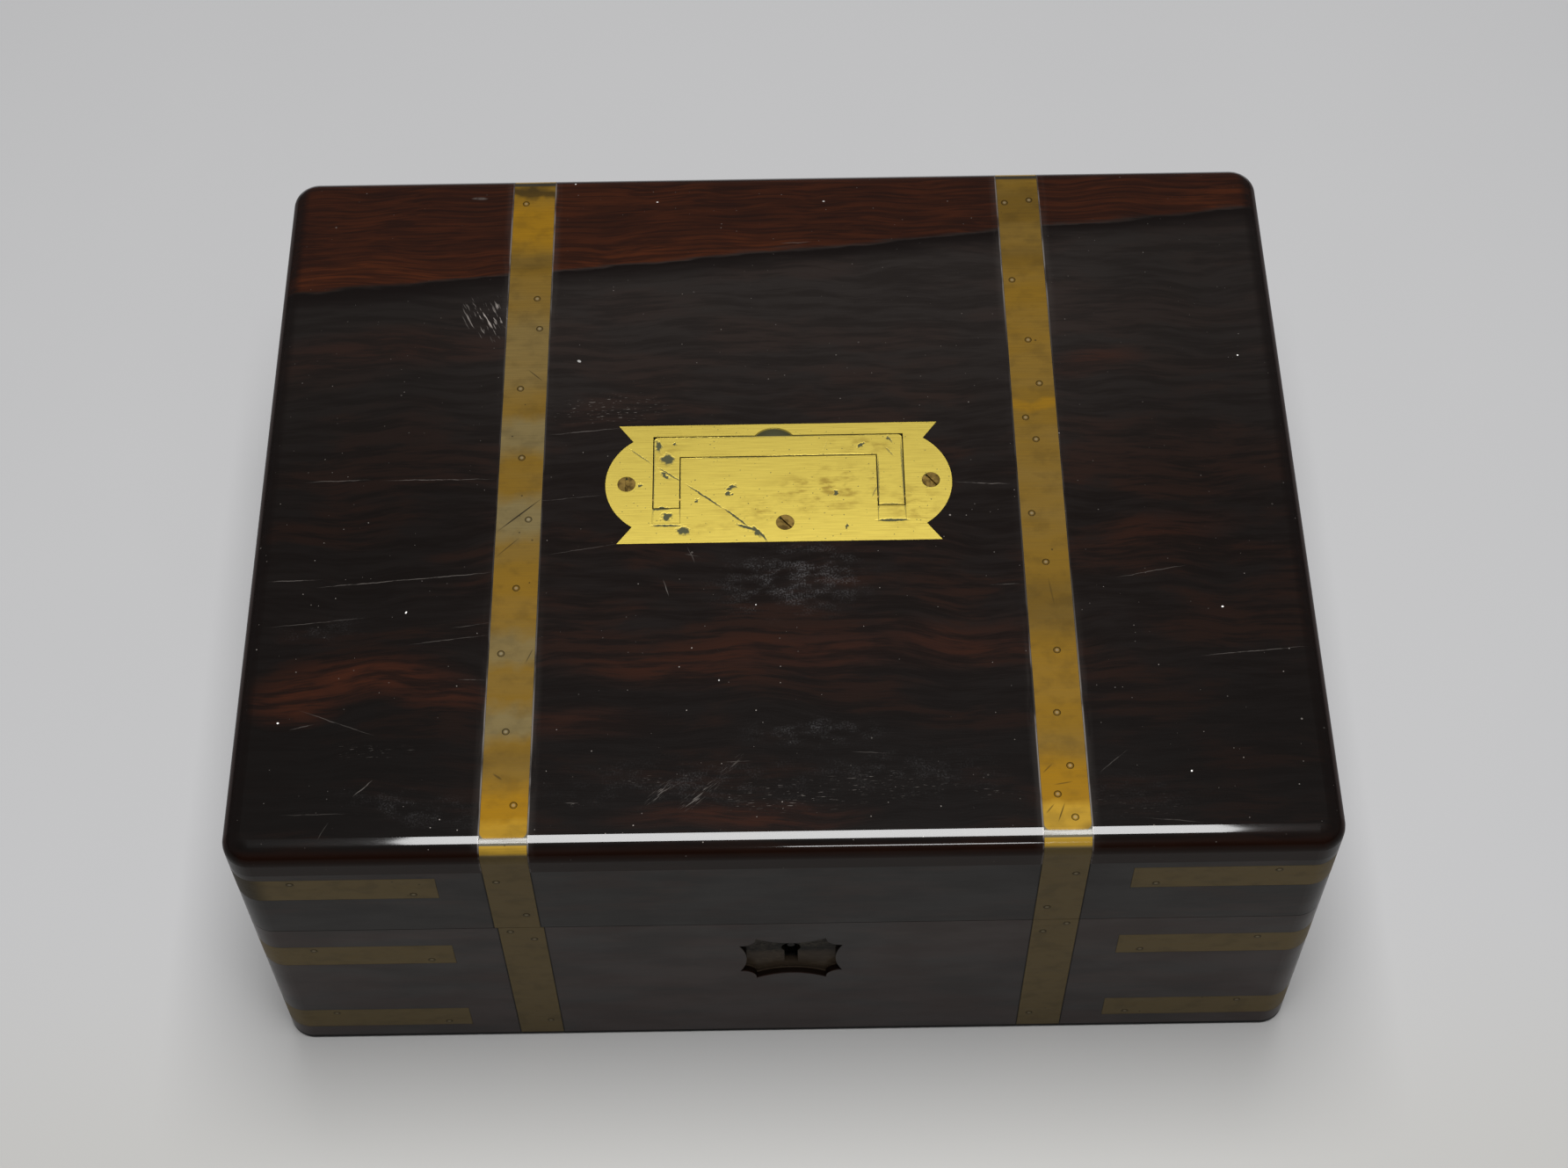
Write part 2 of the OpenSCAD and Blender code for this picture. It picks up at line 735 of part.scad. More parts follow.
module handle_plate() {
    gap = bail_gap;
    color(bright_brass) difference() {
        translate([0, 0, plate_z]) linear_extrude(plate_t) plate_outline(0);
        // channel for the grip
        translate([-bail_l / 2 - gap, grip_reach - grip_w - gap, channel_z])
            cube([bail_l + 2 * gap, grip_w + 2 * gap, bail_t + over]);
        // channels for the legs and blocks
        for (x = [-leg_x, leg_x])
            translate([x - leg_w / 2 - gap, channel_y, channel_z])
                cube([leg_w + 2 * gap, grip_reach - channel_y, bail_t + over]);
        tail_pockets(plate_z - over, plate_t);
        for (x = [-leg_x, leg_x]) translate([x, pivot_y, pivot_z]) rotate([0, 90, 0])
            cylinder(h = pivot_l + 2 * run, r = pivot_r + run, center = true);
        // thumb scoop, which leaves the island inside the bail whole
        intersection() {
            translate([scoop_x, scoop_y, box_h - scoop_deep + scoop_ball_r]) sphere(r = scoop_ball_r);
            translate([-bail_l / 2, grip_reach - grip_w - gap, plate_z])
                cube([bail_l, plate_w, plate_t + over]);
        }
        for (s = plate_screws) translate([s[0], s[1], box_h]) screw(plate_screw_r, plate_screw_l, 0, fit);
    }
}

module handle_blocks() {
    gap = bail_gap - fit;
    color(bright_brass) for (x = [-leg_x, leg_x])
        translate([x - leg_w / 2 - gap, channel_y + fit, channel_z])
            cube([leg_w + 2 * gap, block_l - fit, box_h - channel_z]);
}

module handle_pins() {
    color(old_brass) for (x = [-leg_x, leg_x]) translate([x, pivot_y, pivot_z]) rotate([0, 90, 0])
        cylinder(h = pivot_l, r = pivot_r, center = true);
}

module handle_screws() {
    color(old_brass) for (i = [0 : len(plate_screws) - 1])
        translate([plate_screws[i][0], plate_screws[i][1], box_h])
            screw(plate_screw_r, plate_screw_l, plate_screw_angles[i]);
}

module handle_bail() {
    grip_y = grip_reach - grip_w;
    color(bright_brass) difference() {
        union() {
            translate([0, 0, bail_z]) linear_extrude(bail_t) difference() {
                union() {
                    translate([-bail_l / 2, pivot_y]) square([bail_l, grip_reach - bail_corner_r - pivot_y]);
                    translate([bail_corner_r - bail_l / 2, pivot_y])
                        square([bail_l - 2 * bail_corner_r, grip_reach - pivot_y]);
                    for (x = [-1, 1])
                        translate([x * (bail_l / 2 - bail_corner_r), grip_reach - bail_corner_r])
                            circle(r = bail_corner_r);
                }
                translate([leg_w - bail_l / 2, pivot_y - over])
                    square([bail_l - 2 * leg_w, grip_y - pivot_y + over]);
            }
            for (x = [-leg_x, leg_x]) across(x, leg_w) intersection() {
                translate([pivot_y, pivot_z]) circle(r = tail_r);
                translate([pivot_y - tail_r, bail_z]) square([tail_r, bail_t]);
            }
        }
        for (x = [-leg_x, leg_x]) translate([x, pivot_y, pivot_z]) rotate([0, 90, 0])
            cylinder(h = leg_w + over, r = pivot_r + run, center = true);
    }
}

// Lock and link plate

// Slots in the lock's top plate that the links drop into
module link_slots() {
    for (x = [-1, 1])
        translate([lock_x + x * link_span / 2, lock_mid_y, base_top])
            cube([link_t + 4 * slip, link_w + 2 * slip, 2 * face_t + over], center = true);
}

// The lock's screws: two down through its top plate, two through its back plate
module lock_screw_set(grow) {
    for (x = [-1, 1]) {
        translate([lock_x + x * (face_l + case_w) / 4, face_y, base_top])
            screw(lock_screw_r, lock_screw_l, x * 25, grow);
        translate([
            lock_x + x * (case_w + lock_tail_w) / 2, lock_in_y, lock_cap_z + lock_side_screw_rise
        ]) rotate([-90, 0, 0]) screw(lock_screw_r, lock_side_screw_l, 60, grow);
    }
}

module lock_body() {
    color(lock_steel) difference() {
        union() {
            translate([lock_x - face_l / 2, lock_in_y - face_w, base_top - face_t])
                cube([face_l, face_w, face_t]);
            translate([lock_x - back_plate_w / 2, lock_in_y - lock_back_t, lock_cap_z])
                cube([back_plate_w, lock_back_t, case_h]);
        }
        link_slots();
        lock_screw_set(fit);
        at_keyhole(lock_in_y - lock_back_t - over, lock_back_t + 2 * over) key_pin(fit);
    }
}

module lock_cap() {
    cavity_w = case_w - 2 * cap_t;
    ledge_l = (cavity_w - talon_w) / 2 - bolt_throw - slip;
    color(lock_steel) difference() {
        union() {
            difference() {
                translate([lock_x - case_w / 2, lock_in_y - lock_deep, lock_cap_z])
                    cube([case_w, lock_deep - lock_back_t, case_h]);
                translate([lock_x - cavity_w / 2, lock_in_y - lock_deep + cap_t, lock_cap_z + cap_t])
                    cube([cavity_w, lock_deep, case_h]);
            }
            // ledges that the bolt slides on
            for (x = [lock_x - cavity_w / 2, lock_x + cavity_w / 2 - ledge_l])
                translate([x, lock_in_y - lock_deep + cap_t / 2, bolt_bar_z - slip - cap_t])
                    cube([ledge_l, lock_deep - lock_back_t - cap_t / 2, cap_t]);
        }
        at_keyhole(lock_in_y - lock_deep - over, 2 * over + cap_t) keyhole();
    }
}

module lock_spring() {
    low = bolt_bar_z + bolt_bar_h + slip;
    high = base_top - face_t - fit;
    spring_r = (high - low) / 2;
    color(lock_steel) translate([lock_x - spring_left, lock_mid_y, low + spring_r]) rotate([90, 0, 0])
        linear_extrude(spring_w, center = true) intersection() {
            difference() {
                circle(r = spring_r);
                circle(r = spring_r - spring_t);
            }
            translate([0, -spring_r]) square([spring_r, 2 * spring_r]);
        }
}

module lock_key_pin() {
    color(lock_steel) at_keyhole(lock_in_y - key_pin_l, key_pin_l) key_pin(0);
}

module lock_screws() {
    color(lock_steel) lock_screw_set(0);
}

module lock_bolt() {
    color(lock_steel) translate([lock_x, lock_mid_y, 0]) {
        left = -link_span / 2 - link_t / 2 - hook_gap - bolt_throw - riser_w;
        right = link_span / 2 - link_t / 2 - hook_gap - bolt_throw;
        translate([left, -bolt_w / 2, bolt_bar_z]) cube([right - left, bolt_w, bolt_bar_h]);
        difference() {
            translate([-talon_w / 2, -bolt_w / 2, bolt_bar_z - talon_h])
                cube([talon_w, bolt_w, talon_h]);
            translate([-talon_notch_w / 2, -bolt_w, bolt_bar_z - talon_h - over])
                cube([talon_notch_w, 2 * bolt_w, talon_h / 2 + over]);
        }
        for (x = [-1, 1]) translate([x * link_span / 2 - link_t / 2 - hook_gap, -nose_w / 2, 0]) {
            translate([-bolt_throw - riser_w, 0, bolt_bar_z + bolt_bar_h])
                cube([riser_w, nose_w, nose_z + nose_h - bolt_bar_z - bolt_bar_h]);
            translate([-bolt_throw, 0, nose_z]) cube([bolt_throw, nose_w, nose_h]);
        }
    }
}

// The link plate's two screws, up into the lid's front board
module link_screw_set(grow) {
    for (x = [-1, 1])
        translate([lock_x + x * (face_l + case_w) / 4, face_y, lid_low]) rotate([180, 0, 0])
            screw(lock_screw_r, lock_screw_l, x * 35, grow);
}

module link_plate() {
    color(old_brass) difference() {
        union() {
            translate([lock_x - face_l / 2, lock_in_y - face_w, lid_low]) cube([face_l, face_w, face_t]);
            for (x = [-1, 1])
                translate([lock_x + x * link_span / 2 - link_t / 2, lock_mid_y - link_w / 2, lid_low - link_l])
                    cube([link_t, link_w, link_l + face_t / 2]);
        }
        for (x = [-1, 1])
            translate([lock_x + x * link_span / 2, lock_mid_y, lid_low - link_l + eye_rise + eye_h / 2])
                cube([link_t + over, eye_w, eye_h], center = true);
        link_screw_set(fit);
    }
}

module link_screws() {
    color(old_brass) link_screw_set(0);
}

// Hinges

// Housings of both leaves on one side of the seam: up -1 for the base, 1 for the lid
module hinge_housing(up) {
    for (x = [-hinge_x, hinge_x])
        translate([
            x - hinge_l / 2 - slip, hinge_y - leaf_w - fit,
            up > 0 ? lid_low - over : base_top - leaf_t - fit
        ]) cube([hinge_l + 2 * slip, leaf_w + fit, leaf_t + fit + over]);
    hinge_screw_set(up, fit);
}

// Where knuckle i begins, from the hinge's left end
function knuckle_at(i) = i * (knuckle_l + knuckle_gap) - hinge_l / 2;

// One leaf with its knuckles; up -1 is the base's leaf with the odd ones, 1 the lid's
module hinge_leaf(x, up) {
    mine = up < 0 ? 0 : 1;
    edge_z = up > 0 ? lid_low : base_top - leaf_t;
    color(old_brass) difference() {
        union() {
            difference() {
                translate([x - hinge_l / 2, hinge_y - leaf_w, edge_z]) cube([hinge_l, leaf_w, leaf_t]);
                for (i = [1 - mine : 2 : knuckles - 1])
                    translate([x + knuckle_at(i) - knuckle_gap, hinge_y, seam_z]) rotate([0, 90, 0])
                        cylinder(h = knuckle_l + 2 * knuckle_gap, r = trough_r);
            }
            for (i = [mine : 2 : knuckles - 1])
                translate([x + knuckle_at(i), hinge_y, seam_z]) rotate([0, 90, 0])
                    cylinder(h = knuckle_l, r = knuckle_r);
        }
        translate([x, hinge_y, seam_z]) rotate([0, 90, 0])
            cylinder(h = hinge_l + over, r = hinge_pin_r + run, center = true);
        hinge_screw_set(up, fit);
    }
}

module hinge_screw_set(up, grow) {
    for (x = [-hinge_x, hinge_x], share = hinge_screw_shares)
        translate([x + share * hinge_l, hinge_screw_y, up > 0 ? lid_low : base_top])
            rotate([up > 0 ? 180 : 0, 0, 0])
                screw(hinge_screw_r, hinge_screw_l, 90 * share + 20, grow);
}

module hinge_pins() {
    color(old_brass) for (x = [-hinge_x, hinge_x]) translate([x, hinge_y, seam_z])
        rotate([0, 90, 0]) cylinder(h = hinge_l, r = hinge_pin_r, center = true);
}

module hinge_base_screws() {
    color(old_brass) hinge_screw_set(-1, 0);
}

module hinge_lid_screws() {
    color(old_brass) hinge_screw_set(1, 0);
}

// Liners, linings and tray

module liner(turn) {
    color(inner_wood) mitred_board(turn, liner_w, liner_d, liner_t, floor_t, lip_z, 0);
}

module well_lining() {
    color(velvet) translate([0, 0, floor_t]) linear_extrude(lining_t)
        square([well_w - 2 * slip, well_d - 2 * slip], center = true);
}

module lid_pad() {
    color(velvet) translate([0, 0, rail_top - lid_pad_t]) linear_extrude(lid_pad_t)
        square([in_w - 2 * slip, in_d - 2 * slip], center = true);
}

module tray_rests() {
    color(inner_wood) for (x = [-1, 1])
        translate([x * (well_w - rest_w) / 2 - rest_w / 2, -well_d / 2, tray_low - rest_h])
            cube([rest_w, well_d, rest_h]);
}

module tray_side(turn) {
    color(inner_wood) mitred_board(turn, tray_w, tray_d, tray_t, tray_low, tray_top, 0);
}

module tray_floor() {
    color(inner_wood) translate([0, 0, tray_low]) linear_extrude(tray_floor_t)
        square([cell_w, cell_d], center = true);
}

module tray_divider_long() {
    color(inner_wood)
        translate([-cell_w / 2, long_divider_y - divider_t / 2, tray_low + tray_floor_t])
            cube([cell_w, divider_t, tray_h - tray_floor_t - divider_drop]);
}

module tray_dividers_cross() {
    color(inner_wood) for (x = [-cross_divider_x, cross_divider_x])
        translate([x - divider_t / 2, long_divider_y + divider_t / 2, tray_low + tray_floor_t])
            cube([divider_t, back_row_d, tray_h - tray_floor_t - divider_drop]);
}

// A thin velvet pad on the floor of one compartment
module cell_pad(x, y, w, d) {
    translate([x - w / 2 + slip, y - d / 2 + slip, tray_low + tray_floor_t])
        cube([w - 2 * slip, d - 2 * slip, lining_t]);
}

module tray_pads() {
    color(velvet) {
        cell_pad(0, (front_cell_d - cell_d) / 2, cell_w, front_cell_d);
        cell_pad(0, back_row_y, middle_cell_w, back_row_d);
        for (x = [-1, 1])
            cell_pad(x * (cell_w - end_cell_w) / 2, back_row_y, end_cell_w, back_row_d);
    }
}

module tray_knobs() {
    neck_r = knob_r * knob_neck_share;
    foot_r = knob_r * knob_foot_share;
    color(bright_brass) for (x = [-cross_divider_x, cross_divider_x])
        translate([x, back_row_y, tray_top - divider_drop]) {
            cylinder(h = knob_h / 4, r = min(foot_r, divider_t / 2 + neck_r));
            cylinder(h = knob_h / 2, r = neck_r);
            translate([0, 0, knob_h - knob_r]) intersection() {
                sphere(r = knob_r);
                translate([0, 0, -knob_r / 2]) cylinder(h = 2 * knob_r, r = 2 * knob_r);
            }
        }
}

base_front();
base_back();
base_left();
base_right();
base_floor();
base_straps(-1);  // base_straps_front
base_straps(1);  // base_straps_back
base_corner_straps(-1, -1);  // base_corner_straps_front_left
base_corner_straps(1, -1);  // base_corner_straps_front_right
base_corner_straps(-1, 1);  // base_corner_straps_back_left
base_corner_straps(1, 1);  // base_corner_straps_back_right
base_strap_pins();
liner(0);  // liner_front
liner(1);  // liner_right
liner(2);  // liner_back
liner(3);  // liner_left
well_lining();
tray_rests();
lock_body();
lock_cap();
lock_spring();
lock_key_pin();
lock_screws();
lock_bolt();
hinge_leaf(-hinge_x, -1);  // hinge_base_leaf_left
hinge_leaf(hinge_x, -1);  // hinge_base_leaf_right
hinge_pins();
hinge_base_screws();
lid_top();
lid_front();
lid_back();
lid_left();
lid_right();
lid_strap(lid_strap_places[0]);  // lid_strap_left
lid_strap(lid_strap_places[1]);  // lid_strap_right
lid_corner_strap(-1, -1);  // lid_corner_strap_front_left
lid_corner_strap(1, -1);  // lid_corner_strap_front_right
lid_corner_strap(-1, 1);  // lid_corner_strap_back_left
lid_corner_strap(1, 1);  // lid_corner_strap_back_right
lid_strap_pins();
lid_pad();
link_plate();
link_screws();
hinge_leaf(-hinge_x, 1);  // hinge_lid_leaf_left
hinge_leaf(hinge_x, 1);  // hinge_lid_leaf_right
hinge_lid_screws();
handle_plate();
handle_blocks();
handle_pins();
handle_screws();
handle_bail();
tray_side(0);  // tray_front
tray_side(1);  // tray_right
tray_side(2);  // tray_back
tray_side(3);  // tray_left
tray_floor();
tray_divider_long();
tray_dividers_cross();
tray_pads();
tray_knobs();
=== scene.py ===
"""A brass-bound travelling box in near-black coromandel wood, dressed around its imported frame.

The frame holds every solid piece at its real size. This script gives the pieces their finishes,
makes the velvet pads that replace the frame's plain soft solids, and sets the camera, the floor
and the lamps. Every place is in metres in the frame's own axes: +X right, +Y back, +Z up.
"""
from __future__ import annotations

import logging
import math
from dataclasses import dataclass, field
from enum import Enum

import bpy
import numpy as np
from mathutils import Euler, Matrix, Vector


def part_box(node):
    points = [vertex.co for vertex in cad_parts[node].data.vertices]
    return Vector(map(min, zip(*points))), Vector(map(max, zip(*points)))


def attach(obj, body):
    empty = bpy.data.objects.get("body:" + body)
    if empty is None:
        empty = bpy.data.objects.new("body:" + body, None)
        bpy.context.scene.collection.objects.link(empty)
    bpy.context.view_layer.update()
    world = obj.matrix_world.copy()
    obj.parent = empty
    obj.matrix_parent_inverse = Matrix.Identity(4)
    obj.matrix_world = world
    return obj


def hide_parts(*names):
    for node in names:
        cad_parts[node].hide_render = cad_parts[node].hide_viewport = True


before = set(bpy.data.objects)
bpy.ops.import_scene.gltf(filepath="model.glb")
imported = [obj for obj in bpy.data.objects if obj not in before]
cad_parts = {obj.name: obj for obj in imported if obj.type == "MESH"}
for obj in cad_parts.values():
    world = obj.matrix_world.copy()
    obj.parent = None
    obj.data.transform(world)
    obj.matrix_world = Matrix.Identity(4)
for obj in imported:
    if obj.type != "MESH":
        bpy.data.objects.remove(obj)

LOG = logging.getLogger("travelling_box")
MM = 0.001

Colour = tuple[float, float, float, float]
Node = bpy.types.Node
# What a node's socket takes: a number, a vector, an sRGB hex colour, another socket or a node
Value = object


def linear(hex_colour: str) -> Colour:
    """Turns an sRGB hex colour into a linear one.

    Args:
        hex_colour: Six hex digits, such as "c8a040".

    Returns:
        Linear red, green, blue and an alpha of 1.
    """
    srgb = np.array([int(hex_colour[i:i + 2], 16) for i in (0, 2, 4)]) / 255
    low, high = srgb / 12.92, ((srgb + 0.055) / 1.055) ** 2.4
    return (*np.where(srgb <= 0.04045, low, high), 1.0)


def placed(name: str, data: bpy.types.ID) -> bpy.types.Object:
    """Makes an object of that data and links it to the scene."""
    obj = bpy.data.objects.new(name, data)
    bpy.context.scene.collection.objects.link(obj)
    return obj


class Graph:
    """A material's nodes while they are being laid out, with its place and its colour so far.

    The place is the object's own coordinates in millimetres, and x, y and z are its parts.
    """

    def __init__(self, name: str) -> None:
        """Starts an empty material.

        Args:
            name: The material's name.
        """
        self.material = bpy.data.materials.new(name)
        self.material.use_nodes = True
        self.tree = self.material.node_tree
        self.tree.nodes.clear()
        here = self.add("TexCoord").outputs["Object"]
        self.place = self.add("VectorMath", {0: here, 3: 1 / MM}, operation="SCALE").outputs[0]
        self.x, self.y, self.z = self.add("SeparateXYZ", {0: self.place}).outputs
        self.colour: Value = None

    def add(self, kind: str, inputs: dict[int | str, Value] | None = None, **settings: object) -> Node:
        """Adds one node with its settings, values and links.

        Args:
            kind: The node's type without its ShaderNode prefix.
            inputs: Socket name or number to a number, an sRGB hex colour, a socket or a node, whose
                first output is used.
            settings: The node's own properties.

        Returns:
            The new node.
        """
        node = self.tree.nodes.new("ShaderNode" + kind)
        for name, value in settings.items():
            setattr(node, name, value)
        for key, value in (inputs or {}).items():
            if isinstance(value, Node):
                value = value.outputs[0]
            if isinstance(value, bpy.types.NodeSocket):
                self.tree.links.new(value, node.inputs[key])
            else:
                node.inputs[key].default_value = linear(value) if isinstance(value, str) else value
        return node

    def finish(self, inputs: dict[str, Value]) -> bpy.types.Material:
        """Ends the nodes in a Principled shader of the colour so far.

        Args:
            inputs: The shader's other inputs.

        Returns:
            The material.
        """
        shader = self.add("BsdfPrincipled", {"Base Color": self.colour, **inputs})
        self.add("OutputMaterial", {"Surface": shader})
        return self.material

    def tint(self, share: Value, colour: Value) -> None:
        """Mixes another colour into the colour so far, by a share."""
        self.colour = self.blended(share, self.colour, colour)

    def blended(self, share: Value, first: Value, second: Value) -> Value:
        """Mixes two colours by a share and gives the mixed colour."""
        return self.add("Mix", {0: share, 6: first, 7: second}, data_type="RGBA").outputs[2]

    def bump(self, height: Value, strength: float, depth_mm: float) -> Node:
        """Bends the normal as a relief of that height, strength and depth does."""
        return self.add("Bump", {"Strength": strength, "Distance": depth_mm * MM, "Height": height})

    def math(self, operation: str, *values: Value, clamp: bool = False) -> Node:
        """Adds one step of arithmetic on its values."""
        return self.add("Math", dict(enumerate(values)), operation=operation, use_clamp=clamp)

    def times(self, one: Value, *others: Value) -> Value:
        """Multiplies its values, one after another."""
        for other in others:
            one = self.math("MULTIPLY", one, other)
        return one

    def larger(self, one: Value, *others: Value) -> Value:
        """Gives the largest of its values."""
        for other in others:
            one = self.math("MAXIMUM", one, other)
        return one

    def less(self, one: Value, other: Value) -> Node:
        """Takes the second value from the first."""
        return self.math("SUBTRACT", one, other)

    def added(self, one: Value, factor: Value, other: Value) -> Node:
        """Multiplies a value by a factor and adds another value."""
        return self.math("MULTIPLY_ADD", one, factor, other)

    def unsigned(self, value: Value) -> Node:
        """Gives a value without its sign."""
        return self.math("ABSOLUTE", value)

    def ramp(self, value: Value, low: float, high: float, to_low: float = 0.0, to_high: float = 1.0) -> Node:
        """Maps a value between two limits smoothly onto two others."""
        limits = {0: value, 1: low, 2: high, 3: to_low, 4: to_high}
        return self.add("MapRange", limits, interpolation_type="SMOOTHSTEP")

    def short_of(self, edge: float, value: Value, low: float, high: float, *ends: float) -> Node:
        """Does as ramp does, between two limits that lie so many millimetres short of an edge."""
        return self.ramp(value, edge - low, edge - high, *ends)

    def even_noise(self, per_mm: float, detail: float, at: Value = None) -> Node:
        """Lays noise of so many waves to a millimetre, the same in all directions."""
        return self.add("TexNoise", {"Vector": at or self.place, "Scale": per_mm, "Detail": detail})

    def noise(self, along_mm: float, across_mm: float, detail: float = 3.0, run: int = 0,
              at: Value = None) -> Node:
        """Lays noise whose grains are long one way and fine the other two.

        Args:
            along_mm: The grains' length.
            across_mm: The grains' width.
            detail: Octaves of finer noise on top.
            run: The axis that the grains run along, 0 for X and 1 for Y.
            at: The place where it is laid, if not the object's own.

        Returns:
            The noise, from 0 to 1 about a middle of 0.5.
        """
        scale = [1 / across_mm] * 3
        scale[run] = 1 / along_mm
        scaled = self.add("Mapping", {"Vector": at or self.place, "Scale": scale})
        return self.add("TexNoise", {"Vector": scaled, "Scale": 1.0, "Detail": detail, "Roughness": 0.55})

    def pushed(self, per_mm: float, reach_mm: tuple[float, float, float], detail: float) -> Value:
        """Pushes the place about by noise, so that what is drawn there gets an uneven rim.

        Args:
            per_mm: The noise's waves to a millimetre.
            reach_mm: How far it pushes along each axis.
            detail: Octaves of finer noise on top.

        Returns:
            The new place.
        """
        push = self.even_noise(per_mm, detail).outputs["Color"]
        push = self.add("VectorMath", {0: push, 1: (0.5, 0.5, 0.5)}, operation="SUBTRACT")
        push = self.add("VectorMath", {0: push, 1: reach_mm}, operation="MULTIPLY")
        return self.add("VectorMath", {0: self.place, 1: push}, operation="ADD").outputs[0]

    def dots(self, per_mm: float, first: float, largest: float) -> tuple[Node, Value]:
        """Scatters round dots of random sizes, each in its own cell of a fixed random pattern.

        Args:
            per_mm: The cells to a millimetre.
            first: The share of the cells that stay empty.
            largest: The largest dot's radius, as a share of a cell.

        Returns:
            The mask, and a second random value for each cell.
        """
        cells = self.add("TexVoronoi", {"Vector": self.place, "Scale": per_mm})
        chance = self.add("SeparateColor", {0: cells.outputs["Color"]})
        size = self.ramp(chance, first, 1.0, 0.0, largest)
        return self.math("LESS_THAN", cells.outputs["Distance"], size), chance.outputs[1]

    def marked(self, marks: tuple, hardness: float, at: Value = None) -> Value:
        """Draws marks as one mask, the strongest mark at each place.

        Each mark is an ellipse that is 1 at its centre and falls evenly to 0 at its rim. Multiplied by
        the hardness and cut at 1, it keeps a solid core and a soft rim.

        Args:
            marks: The marks, each with its ellipse.
            hardness: How steep each rim is.
            at: The place where they are drawn, if not the object's own.

        Returns:
            The mask.
        """
        masks = []
        for mark in marks:
            centre, half_l, half_w, turn = mark.ellipse()
            near = self.add("Mapping", {
                "Vector": at or self.place, "Location": (centre[0], centre[1], LID_TOP_MM),
                "Rotation": (0, 0, turn), "Scale": (half_l, half_w, HALF_DEPTH_MM),
            }, vector_type="TEXTURE")
            disc = self.add("TexGradient", {"Vector": near}, gradient_type="SPHERICAL")
            masks.append(self.times(self.math("MULTIPLY", disc, hardness, clamp=True), mark.strength))
        return self.larger(*masks)

    def strokes(self, marks: tuple, turn_deg: float, length_mm: float, width_mm: float,
                level: float) -> Value:
        """Fills patches with short strokes that all run one way.

        Args:
            marks: The patches.
            turn_deg: The strokes' direction on the lid, from +X towards +Y.
            length_mm: The strokes' length.
            width_mm: The strokes' width.
            level: The noise's value at which a stroke begins; a higher one leaves fewer strokes.

        Returns:
            The mask.
        """
        along = self.add("Mapping", {
            "Vector": self.place, "Rotation": (0, 0, math.radians(turn_deg)),
            "Scale": (length_mm, width_mm, 1.0),
        }, vector_type="TEXTURE")
        lines = self.ramp(self.even_noise(1.0, 2.0, along), level, level + 0.1)
        return self.times(self.marked(marks, 1.4), lines)

    def off_strap(self, places: list[float] | np.ndarray) -> Node:
        """Gives the distance in millimetres from the middle of the nearer of two long straps."""
        left, right = [self.unsigned(self.less(self.x, place)) for place in places]
        return self.math("MINIMUM", left, right)


@dataclass(frozen=True)
class PhotoView:
    """The photograph's camera, solved from the box's own edges.

    A pixel of the photograph is placed on the lid by following its ray down to the lid's top.
    """

    width_px: float = 1784
    height_px: float = 1329
    location: tuple[float, float, float] = (0.00094, -0.44448, 0.75489)
    turn_deg: tuple[float, float, float] = (32.82, 0.47, -0.75)
    lens_mm: float = 60.62
    sensor_mm: float = 36.0

    def make(self) -> bpy.types.Object:
        """Makes the camera and sets it as the scene's own."""
        data = bpy.data.cameras.new("camera")
        data.lens, data.sensor_width = self.lens_mm, self.sensor_mm
        camera = placed("camera", data)
        camera.location = self.location
        camera.rotation_euler = np.radians(self.turn_deg)
        bpy.context.scene.camera = camera
        return camera

    def on_lid(self, x_px: float, y_px: float) -> np.ndarray:
        """Gives the place in millimetres where a pixel's ray meets the lid's top.

        Args:
            x_px: The place in the photograph, from its left edge.
            y_px: The same, from its upper edge.

        Returns:
            x, y and z in millimetres.
        """
        focal_px = self.lens_mm / self.sensor_mm * self.width_px
        ray = np.array([x_px - self.width_px / 2, self.height_px / 2 - y_px, -focal_px])
        ray = np.array(Euler(np.radians(self.turn_deg)).to_matrix()) @ ray
        start = np.array(self.location) / MM
        return start + ray * (LID_TOP_MM - start[2]) / ray[2]


VIEW = PhotoView()
HALF_WIDTH_MM, HALF_DEPTH_MM, LID_TOP_MM = [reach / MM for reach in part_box("lid_top")[1]]
SEAM_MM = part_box("base_front")[1][2] / MM


def span_mm(box: tuple, axis: int) -> np.ndarray:
    """Gives the lowest and the highest place of a node's box along an axis, in millimetres."""
    return np.array(box)[:, axis] / MM


STRAP_PLACES_MM = [span_mm(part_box(f"lid_strap_{side}"), 0).mean() for side in ("left", "right")]
STRAP_HALF_MM = np.ptp(span_mm(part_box("lid_strap_right"), 0)) / 2
BASE_STRAP_PLACES_MM = span_mm(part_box("base_straps_front"), 0) + (STRAP_HALF_MM, -STRAP_HALF_MM)
KEY_MM = span_mm(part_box("lock_key_pin"), 2).mean()
# The middle of the lost keyhole plate's recess, across the box
RECESS_X_MM = 1.5
# The heights between which the painted shadow line at the box's foot fades in, downwards
FOOT_MM = (2.3, 1.9)


@dataclass(frozen=True)
class Scratch:
    """A thin mark on the lid from one pixel of the photograph to another.

    It is widest in the middle and tapers to both ends.
    """

    start_x_px: float
    start_y_px: float
    end_x_px: float
    end_y_px: float
    width_mm: float
    strength: float

    def ellipse(self) -> tuple[np.ndarray, float, float, float]:
        """Gives the mark's centre, half length and half width in millimetres, and its turn."""
        a = VIEW.on_lid(self.start_x_px, self.start_y_px)
        b = VIEW.on_lid(self.end_x_px, self.end_y_px)
        run = b - a
        return (a + b) / 2, float(np.hypot(run[0], run[1])) / 2, self.width_mm / 2, math.atan2(run[1], run[0])


